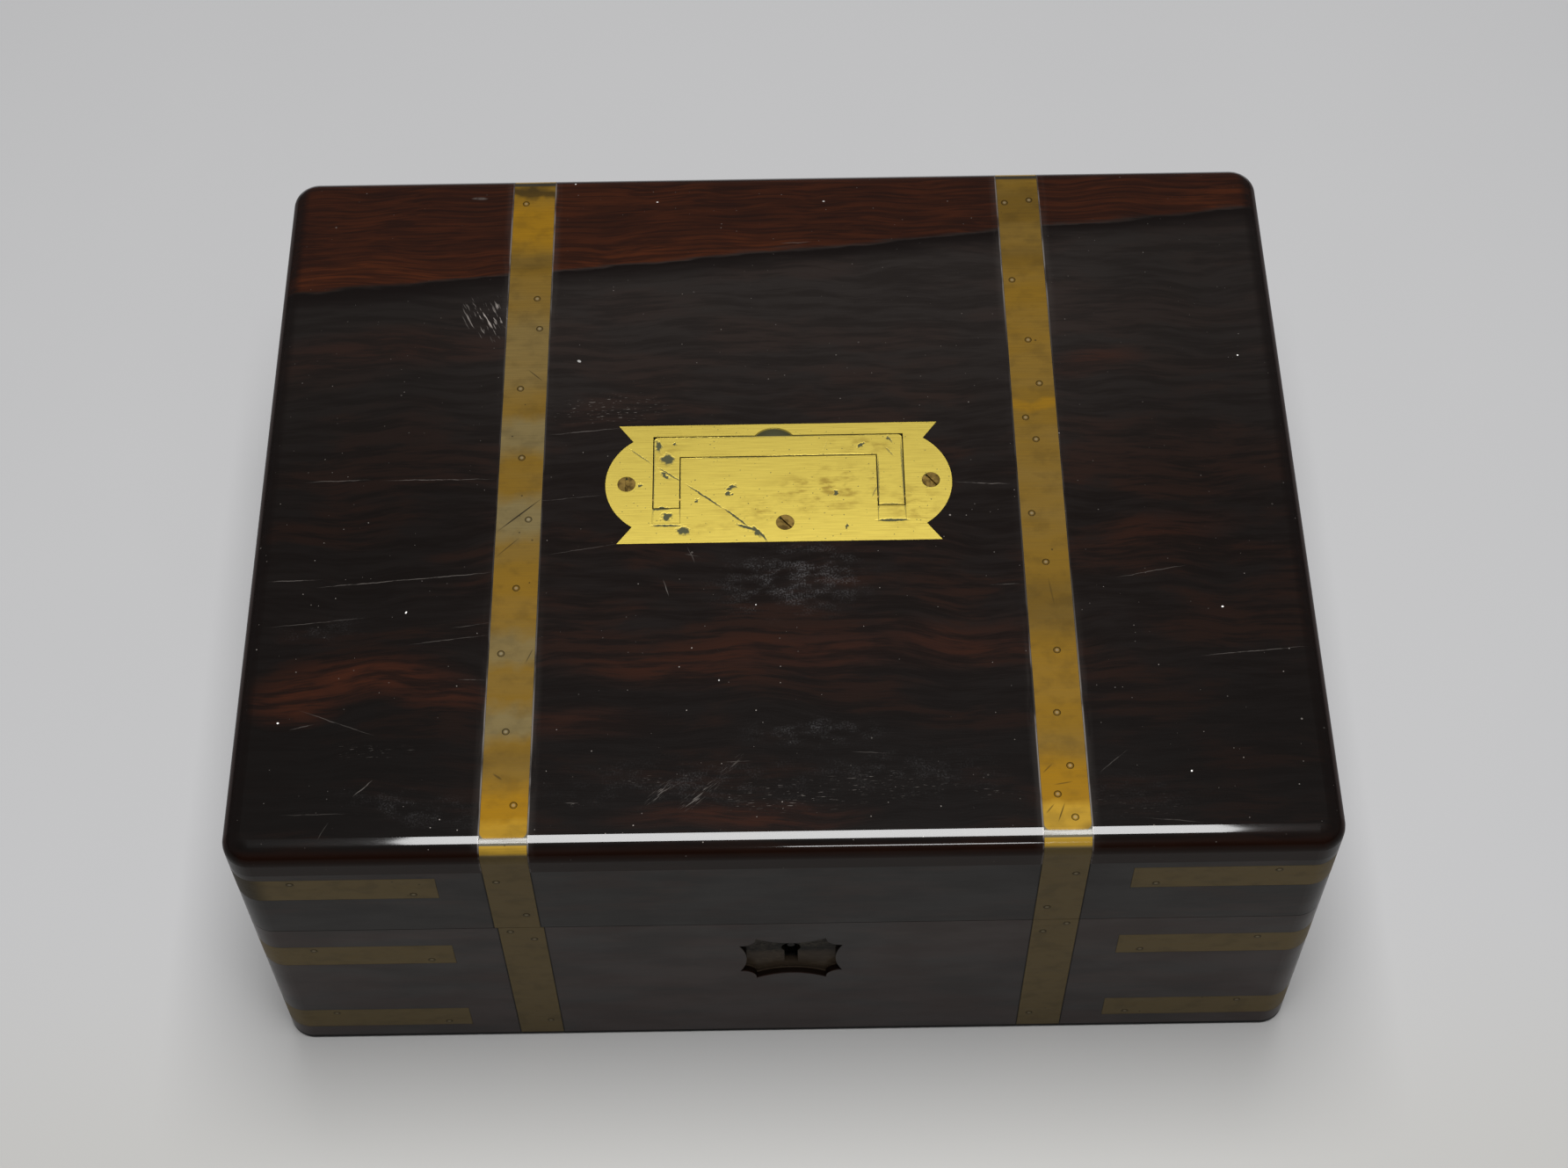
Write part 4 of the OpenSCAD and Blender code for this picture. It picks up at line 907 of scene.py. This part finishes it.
@dataclass(frozen=True)
class PlateBrass:
    """Cast and filed yellow brass of the flush handle, kept bright by hands.

    Bright lemon-yellow metal brushed lengthways, with brown freckles, deep pits, dark green stains
    in the corners and the marks that the photograph shows, and painted shade with grime in its recessed
    parts.
    """

    bright: str = "dac45b"
    brown: str = "86692a"
    stain: str = "44452e"
    # Painted shade with grime in the plate's recessed parts
    recess_grime_and_shade: str = "2f3226"
    line_mm: float = 0.25

    def make(self, name: str) -> bpy.types.Material:
        """Lays out the plate's brass and returns the material."""
        g = Graph(name)
        lines = g.noise(12.0, self.line_mm)
        tarnish = g.times(g.marked(PLATE_TARNISH, 1.2), g.ramp(g.noise(5.0, 2.4, 5.0), 0.36, 0.7))
        g.colour = g.blended(g.ramp(tarnish, 0.0, 1.0, 0.04, 0.7), self.bright, self.brown)
        g.tint(g.ramp(lines, 0.34, 0.6, 0.25, 0.0), self.brown)
        holes, _ = g.dots(0.9, 0.55, 0.2)
        worn = g.larger(
            g.marked(PLATE_STAINS, 2.6, g.pushed(0.7, (3.0, 3.0, 3.0), 4.0)),
            g.marked(PLATE_SCRATCHES + PLATE_SEAMS, 3.0, g.pushed(1.1, (0.7, 0.7, 0.7), 4.0)),
            g.times(holes, 0.7),
        )
        g.tint(worn, self.stain)
        # Painted shade with grime: parts more than 0.4 mm below the plate's top turn dark, dull and less
        # metallic.
        low = g.short_of(LID_TOP_MM, g.z, 0.4, 0.1, 0.96, 0.0)
        g.tint(low, self.recess_grime_and_shade)
        worn = g.larger(worn, low)
        return g.finish({
            "Metallic": g.added(worn, -0.75, 0.88), "Roughness": g.added(worn, 0.3, 0.36),
            "Normal": g.bump(g.added(worn, -4.0, lines), 0.3, 0.04), "Specular IOR Level": 0.2,
        })


@dataclass(frozen=True)
class PlainMetal:
    """A filed or cast small metal piece: brown bronze screws, brass hinges, or the lock's iron.

    An even metal with fine file lines and a mottled brown or grey skin.
    """

    colour: str = "75623a"
    skin: str = "4a3c22"
    roughness: float = 0.42
    line_mm: float = 0.35

    def make(self, name: str) -> bpy.types.Material:
        """Lays out the metal and returns the material."""
        g = Graph(name)
        lines = g.noise(12.0, self.line_mm, 2.0)
        g.colour = g.blended(g.ramp(g.noise(2.2, 2.2, 4.0), 0.38, 0.66), self.colour, self.skin)
        rough = g.ramp(lines, 0.3, 0.7, self.roughness - 0.06, self.roughness + 0.1)
        return g.finish({"Metallic": 1.0, "Roughness": rough, "Normal": g.bump(lines, 0.2, 0.03)})


@dataclass(frozen=True)
class Mahogany:
    """Oiled mahogany of the liners and the tray: red-brown, straight-grained, satin."""

    light: str = "7d4524"
    dark: str = "4a2412"
    pore: str = "2a140b"

    def make(self, name: str, grain: Grain) -> bpy.types.Material:
        """Lays out the wood with its grain running the given way, and returns the material."""
        g = Graph(name)
        bands = g.noise(120.0, 6.0, 4.0, grain.value)
        pores = g.noise(7.0, 0.3, 2.0, grain.value)
        g.colour = g.blended(g.ramp(bands, 0.34, 0.66), self.light, self.dark)
        g.tint(g.ramp(pores, 0.58, 0.7, 0.0, 0.6), self.pore)
        return g.finish({
            "Roughness": g.ramp(bands, 0.3, 0.7, 0.42, 0.56), "Normal": g.bump(pores, 0.25, 0.08),
            "Specular IOR Level": 0.4,
        })


@dataclass(frozen=True)
class Velvet:
    """Cotton velvet over thin wadding: a deep blue pile with a pale edge sheen and brushed patches."""

    pile: str = "1b2145"
    rubbed: str = "22294f"
    shade: str = "0b0d1c"
    sheen: str = "8f9ad8"
    thread_mm: float = 0.5

    def make(self, name: str) -> bpy.types.Material:
        """Lays out the velvet and returns the material."""
        g = Graph(name)
        tufts = g.noise(self.thread_mm, self.thread_mm, 2.0)
        g.colour = g.blended(g.ramp(g.noise(30.0, 18.0), 0.4, 0.64), self.pile, self.rubbed)
        g.tint(g.ramp(tufts, 0.3, 0.6, 0.4, 0.0), self.shade)
        return g.finish({
            "Roughness": 0.9, "Normal": g.bump(tufts, 0.5, 0.25), "Specular IOR Level": 0.1,
            "Sheen Weight": 0.6, "Sheen Roughness": 0.4, "Sheen Tint": self.sheen,
        })


def dress(material: bpy.types.Material, *nodes: str) -> None:
    """Gives nodes of the frame a material in place of their plain one.

    Args:
        material: The material.
        nodes: The nodes' names.
    """
    for name in nodes:
        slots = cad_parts[name].data.materials
        slots.clear()
        slots.append(material)


def closed_mesh(name: str, grid: np.ndarray, low: np.ndarray, high: np.ndarray) -> bpy.types.Object:
    """Makes closed surfaces in one mesh, each from rings of points and the two poles that close them.

    Args:
        name: The object's name.
        grid: Points of shape surfaces, rings, points round, 3, from the low pole to the high one.
        low: The low poles, one a surface.
        high: The high poles, one a surface.

    Returns:
        The object, in the scene at the origin.
    """
    count, rings, around = grid.shape[:3]
    points = np.concatenate([grid.reshape(count, -1, 3), low[:, None], high[:, None]], axis=1)
    start = np.arange(count)[:, None, None] * points.shape[1]
    ring, place = np.meshgrid(np.arange(rings - 1), np.arange(around), indexing="ij")
    after = (place + 1) % around
    near, far = ring * around, (ring + 1) * around
    quads = np.stack([near + place, near + after, far + after, far + place], axis=-1).reshape(-1, 4)
    here = np.arange(around)
    beyond = (here + 1) % around
    foot = np.stack([np.full(around, rings * around), beyond, here], axis=-1)
    top = (rings - 1) * around
    head = np.stack([np.full(around, rings * around + 1), top + here, top + beyond], axis=-1)
    quads = (quads + start).reshape(-1, 4)
    ends = (np.concatenate([foot, head]) + start).reshape(-1, 3)
    points = points.reshape(-1, 3)
    mesh = bpy.data.meshes.new(name)
    mesh.from_pydata(points.tolist(), [], quads.tolist() + ends.tolist())
    mesh.polygons.foreach_set("use_smooth", np.ones(len(mesh.polygons), bool))
    mesh.update()
    return placed(name, mesh)


@dataclass
class PinHeads:
    """The filed heads of the strap pins: low domes, each with a dirty groove round it."""

    rise_mm: float = 0.03
    depth_mm: float = 0.25
    crown_share: float = 0.12
    end_thick_mm: float = 0.1
    end_depth_mm: float = 1.0
    rings: int = 8
    around: int = 28

    def outer_ends(self, node: bpy.types.Object) -> tuple[np.ndarray, np.ndarray, float]:
        """Finds the flat outer end of each pin in a node of the frame.

        A pin's ends are flat pieces of the mesh. Each point takes the lowest number among its
        neighbours' until nothing changes, which gives each piece one number.

        Args:
            node: The pins' node.

        Returns:
            The ends' centres, their outward directions, and the pins' radius, in metres.
        """
        mesh = node.data
        points = np.empty(len(mesh.vertices) * 3)
        mesh.vertices.foreach_get("co", points)
        points = points.reshape(-1, 3)
        edges = np.empty(len(mesh.edges) * 2, int)
        mesh.edges.foreach_get("vertices", edges)
        one, other = edges.reshape(-1, 2).T
        label, before = np.arange(len(points)), None
        while before is None or (label != before).any():
            before = label.copy()
            lowest = np.minimum(before[one], before[other])
            np.minimum.at(label, one, lowest)
            np.minimum.at(label, other, lowest)
        names, piece = np.unique(label, return_inverse=True)
        low, high = np.full((2, len(names), 3), np.inf)
        high = -high
        np.minimum.at(low, piece, points)
        np.maximum.at(high, piece, points)
        size, centre = high - low, (low + high) / 2
        axis = size.argmin(axis=1)
        row = np.arange(len(names))
        reach = np.array([HALF_WIDTH_MM, HALF_DEPTH_MM, LID_TOP_MM])[axis] * MM
        along = centre[row, axis]
        outer = (size[row, axis] < self.end_thick_mm * MM) & (np.abs(along) > reach - self.end_depth_mm * MM)
        outward = np.zeros_like(centre)
        outward[row, axis] = np.sign(along)
        return centre[outer], outward[outer], float(size[outer].max() / 2)

    def build(self, brass: bpy.types.Material) -> None:
        """Makes the heads on the lid and on the base.

        A head is a surface of revolution about its pin. From its foot to its crown, the first ring
        stands below the strap at the pin's radius, and the others shrink towards the middle while
        their height over the strap grows as 1 less the sixth power of their share of the radius.
        """
        for node, body in (("lid_strap_pins", "lid"), ("base_strap_pins", "base")):
            centre, outward, radius = self.outer_ends(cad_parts[node])
            share = np.concatenate([[1.0], np.linspace(1.0, self.crown_share, self.rings - 1)])
            rise = self.rise_mm * MM * (1 - share ** 6)
            rise[0] = -self.depth_mm * MM
            angle = np.linspace(0, 2 * np.pi, self.around, endpoint=False)
            side = np.roll(np.abs(outward), 1, axis=1)
            up = np.cross(outward, side)
            circle = side[:, None] * np.cos(angle)[:, None] + up[:, None] * np.sin(angle)[:, None]
            grid = centre[:, None, None] + radius * share[:, None, None] * circle[:, None]
            grid = grid + rise[:, None, None] * outward[:, None, None]
            heads = closed_mesh(f"{body}_pin_heads", grid, centre + rise[0] * outward,
                                centre + self.rise_mm * MM * outward)
            heads.data.materials.append(brass)
            values = np.concatenate([np.repeat(share, self.around), [1.0, 0.0]])
            shares = heads.data.attributes.new("share", "FLOAT", "POINT")
            shares.data.foreach_set("value", np.tile(values, len(centre)))
            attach(heads, body)
            LOG.info("pin heads on the %s: %d", body, len(centre))


@dataclass
class PaddedLinings:
    """The velvet pads of the box: the well's lining, the tray's pads and the panel in the lid."""

    velvet: Velvet = field(default_factory=Velvet)
    squareness: float = 0.09
    foot_share: float = 0.18
    edge_share: float = 0.5
    tuck_share: float = 0.25
    rings: int = 22
    around: int = 160

    def surface(self, low: np.ndarray, high: np.ndarray, down: bool) -> tuple[np.ndarray, ...]:
        """Works out a pad that fills a box.

        Round the pad, each ring is a squared circle: x and y are the cosine and sine of the angle,
        raised to a small power with their sign kept. From the flat side to the crown, the rings
        grow out to the rim, stand up as a rounded edge, and then shrink while their height rises
        from the edge's to the full thickness as 1 less the fourth power of the ring's size.

        Args:
            low: The box's lowest corner in metres.
            high: The box's highest corner in metres.
            down: True where the crown faces down.

        Returns:
            The rings' points, and the two poles in the same order.
        """
        centre, half = (low + high) / 2, (high - low) / 2
        thick = high[2] - low[2]
        angle = np.linspace(0, 2 * np.pi, self.around, endpoint=False)
        wide = np.sign(np.cos(angle)) * np.abs(np.cos(angle)) ** self.squareness
        deep = np.sign(np.sin(angle)) * np.abs(np.sin(angle)) ** self.squareness
        under = np.linspace(0.25, 1, 4)
        over = np.linspace(1, 0.08, self.rings - 4)
        size = np.concatenate([under, over])
        rise_under = self.foot_share * under ** 40
        rise_over = self.edge_share + (1 - self.edge_share) * (1 - over ** 4) ** 0.7
        rise = np.concatenate([rise_under, rise_over])
        tuck = 1 - self.tuck_share * thick / half[0] * (rise < 0.2)
        grid = np.empty((len(size), self.around, 3))
        grid[..., 0] = centre[0] + half[0] * (size * tuck)[:, None] * wide[None, :]
        grid[..., 1] = centre[1] + half[1] * (size * tuck)[:, None] * deep[None, :]
        grid[..., 2] = low[2] + thick * rise[:, None]
        foot = np.array([centre[0], centre[1], low[2]])
        crown = np.array([centre[0], centre[1], high[2]])
        if down:
            grid[..., 2] = low[2] + high[2] - grid[..., 2]
            foot[2], crown[2] = high[2], low[2]
            grid = grid[:, ::-1]
        return grid, foot, crown

    def pad(self, name: str, low: np.ndarray, high: np.ndarray, body: str, node: str,
            material: bpy.types.Material, down: bool = False) -> bpy.types.Object:
        """Makes one pad that rides on a body and stands for a node of the frame."""
        grid, foot, crown = self.surface(low, high, down)
        obj = closed_mesh(name, grid[None], foot[None], crown[None])
        obj.data.materials.append(material)
        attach(obj, body)
        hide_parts(node)
        return obj

    def build(self) -> None:
        """Makes every pad where the frame holds its plain solid."""
        material = self.velvet.make("cotton_velvet")
        for name, body, down in (("lid_pad", "lid", True), ("well_lining", "base", False)):
            low, high = [np.array(c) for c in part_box(name)]
            self.pad(name + "_velvet", low, high, body, name, material, down)
        cells = self.cells()
        for name, (low, high) in cells.items():
            self.pad(name, low, high, "tray", "tray_pads", material)
        LOG.info("velvet: %d pads", 2 + len(cells))

    @staticmethod
    def cells() -> dict[str, tuple[np.ndarray, np.ndarray]]:
        """Finds the box of each tray pad from the tray's own floor and dividers."""
        low, high = [np.array(c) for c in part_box("tray_pads")]
        wall_low, wall_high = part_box("tray_divider_long")
        cross_low, cross_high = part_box("tray_dividers_cross")
        margin = low[0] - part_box("tray_floor")[0][0]
        thick = wall_high[1] - wall_low[1]
        front_y, back_y = wall_low[1] - margin, wall_high[1] + margin
        left_x, right_x = cross_low[0], cross_high[0]
        z = low[2], high[2]
        corner = {
            "tray_pad_front": ((low[0], low[1]), (high[0], front_y)),
            "tray_pad_left": ((low[0], back_y), (left_x - margin, high[1])),
            "tray_pad_middle": ((left_x + thick + margin, back_y), (right_x - thick - margin, high[1])),
            "tray_pad_right": ((right_x + margin, back_y), (high[0], high[1])),
        }
        return {k: (np.array([*a, z[0]]), np.array([*b, z[1]])) for k, (a, b) in corner.items()}


@dataclass
class Case:
    """The dark boards of the lid and the base."""

    wood: Coromandel = field(default_factory=Coromandel)

    def build(self) -> None:
        """Gives each board its wood, with the grain along it."""
        top = self.wood.make("coromandel_lid_top", Grain.ACROSS_BOX, Board.LID_TOP)
        front = self.wood.make("coromandel_keyhole_board", Grain.ACROSS_BOX, Board.KEYHOLE)
        across = self.wood.make("coromandel_across", Grain.ACROSS_BOX, Board.UPRIGHT)
        along = self.wood.make("coromandel_front_to_back", Grain.FRONT_TO_BACK, Board.UPRIGHT)
        dress(top, "lid_top")
        dress(front, "base_front")
        dress(across, "lid_front", "lid_back", "base_back", "base_floor")
        dress(along, "lid_left", "lid_right", "base_left", "base_right")
        LOG.info("case: 10 boards")


@dataclass
class Binding:
    """The brass straps and the pins that hold them."""

    brass: BindingBrass = field(default_factory=BindingBrass)
    heads: PinHeads = field(default_factory=PinHeads)

    def build(self) -> None:
        """Gives the straps and their pins their brass, and makes the pins' heads."""
        strap = self.brass.make("rolled_brass_strap")
        pin = self.brass.make("brass_pin_heads", pins=True)
        corners = [f"{a}_{b}" for a in ("front", "back") for b in ("left", "right")]
        dress(strap, "lid_strap_left", "lid_strap_right", "base_straps_front", "base_straps_back")
        dress(strap, *[f"lid_corner_strap_{c}" for c in corners])
        dress(strap, *[f"base_corner_straps_{c}" for c in corners])
        dress(pin, "lid_strap_pins", "base_strap_pins")
        self.heads.build(pin)
        LOG.info("binding: straps, pins, and corner straps in %d nodes", 2 * len(corners))


@dataclass
class FlushHandle:
    """The handle plate, its folding bail, the blocks, the pins and the screws."""

    brass: PlateBrass = field(default_factory=PlateBrass)
    screw: PlainMetal = field(default_factory=lambda: PlainMetal("7a6434", "4a3b1e", 0.45))

    def build(self) -> None:
        """Gives the handle's pieces their metal."""
        plate = self.brass.make("filed_yellow_brass")
        dress(plate, "handle_plate", "handle_bail", "handle_blocks")
        dress(self.screw.make("bronze_screws"), "handle_screws", "handle_pins")
        LOG.info("handle: plate, bail, blocks, screws and pins")


@dataclass
class Ironmongery:
    """The lock, the link plate, the hinges and the tray's knobs."""

    iron: PlainMetal = field(default_factory=lambda: PlainMetal("77736c", "4d473f", 0.4))
    oiled: PlainMetal = field(default_factory=lambda: PlainMetal("3b3834", "242220", 0.6))
    brass: PlainMetal = field(default_factory=lambda: PlainMetal("9a8247", "6d5a30", 0.4))

    def build(self) -> None:
        """Gives the lock its iron, and the hinges, the link plate and the knobs their brass."""
        iron, brass = self.iron.make("filed_iron"), self.brass.make("cast_brass")
        dress(iron, *[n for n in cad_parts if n.startswith("lock_")])
        dress(self.oiled.make("oiled_iron"), "lock_key_pin", "lock_body")
        dress(brass, "tray_knobs", *[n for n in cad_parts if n.startswith(("hinge_", "link_"))])
        LOG.info("ironmongery: lock, link plate and hinges")


@dataclass
class Inside:
    """The mahogany liner boards, the tray and the strips that it rests on."""

    wood: Mahogany = field(default_factory=Mahogany)

    def build(self) -> None:
        """Gives each inner board its wood, with the grain along it."""
        across = self.wood.make("mahogany_across", Grain.ACROSS_BOX)
        along = self.wood.make("mahogany_front_to_back", Grain.FRONT_TO_BACK)
        dress(across, "liner_front", "liner_back", "tray_front", "tray_back", "tray_floor")
        dress(across, "tray_divider_long")
        dress(along, "liner_left", "liner_right", "tray_left", "tray_right", "tray_dividers_cross")
        dress(along, "tray_rests")
        LOG.info("inside: liners and tray")


@dataclass
class Studio:
    """The pale floor, the overhead softbox, the narrow lamp in front of it and the grey room."""

    floor_colour: str = "b2b2b3"
    mottle_colour: str = "a8a8aa"
    # Painted shade on the floor towards the camera
    near_painted_shade: str = "b0afac"
    room_strength: float = 0.08
    floor_half: float = 12.0
    softbox_size: tuple[float, float] = (0.74, 1.1)
    softbox_place: tuple[float, float, float] = (0.027, -0.06, 1.72)
    softbox_power: float = 38.0
    strip_size: tuple[float, float] = (0.155, 0.06)
    strip_place: tuple[float, float, float] = (0.078, -0.90, 0.58)
    strip_power: float = 0.5
    strip_tilt_deg: float = 60.0

    @staticmethod
    def lamp(name: str, place: tuple, size: tuple, power: float) -> bpy.types.Object:
        """Makes an oblong area lamp that faces down and isn't seen itself."""
        data = bpy.data.lights.new(name, "AREA")
        data.shape, data.size, data.size_y, data.energy = "RECTANGLE", size[0], size[1], power
        lamp = placed(name, data)
        lamp.location = place
        lamp.visible_camera = False
        return lamp

    def build(self) -> None:
        """Makes the floor, the lamps and the world."""
        self.lamp("softbox", self.softbox_place, self.softbox_size, self.softbox_power)
        strip = self.lamp("strip_lamp", self.strip_place, self.strip_size, self.strip_power)
        strip.rotation_euler = (math.radians(self.strip_tilt_deg), 0, 0)
        world = bpy.data.worlds.new("room")
        world.use_nodes = True
        back = world.node_tree.nodes["Background"]
        back.inputs["Color"].default_value = (1, 1, 1, 1)
        back.inputs["Strength"].default_value = self.room_strength
        bpy.context.scene.world = world

        mesh = bpy.data.meshes.new("floor")
        h = self.floor_half
        mesh.from_pydata([(-h, -h, 0), (h, -h, 0), (h, h, 0), (-h, h, 0)], [], [(0, 1, 2, 3)])
        floor = placed("floor", mesh)
        g = Graph("pale_paper_floor")
        mottle = g.ramp(g.noise(90.0, 90.0), 0.3, 0.7, 0.0, 0.06)
        g.colour = g.blended(mottle, self.floor_colour, self.mottle_colour)
        # Painted shade: the floor turns slightly darker and warmer in front of the box, towards the camera.
        g.tint(g.ramp(g.y, -60.0, -200.0), self.near_painted_shade)
        mesh.materials.append(g.finish({"Roughness": 0.6, "Specular IOR Level": 0.2}))


def corners(box: tuple) -> list[list[float]]:
    """Turns a box's two corners into plain lists of numbers."""
    return [[float(v) for v in corner] for corner in box]


def main() -> None:
    """Builds the scene in order."""
    logging.basicConfig(level=logging.INFO, format="%(name)s: %(message)s")
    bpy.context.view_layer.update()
    bpy.context.scene.view_settings.view_transform = "Standard"
    VIEW.make()
    Studio().build()
    Case().build()
    Binding().build()
    FlushHandle().build()
    Ironmongery().build()
    Inside().build()
    PaddedLinings().build()


if __name__ == "__main__":
    main()
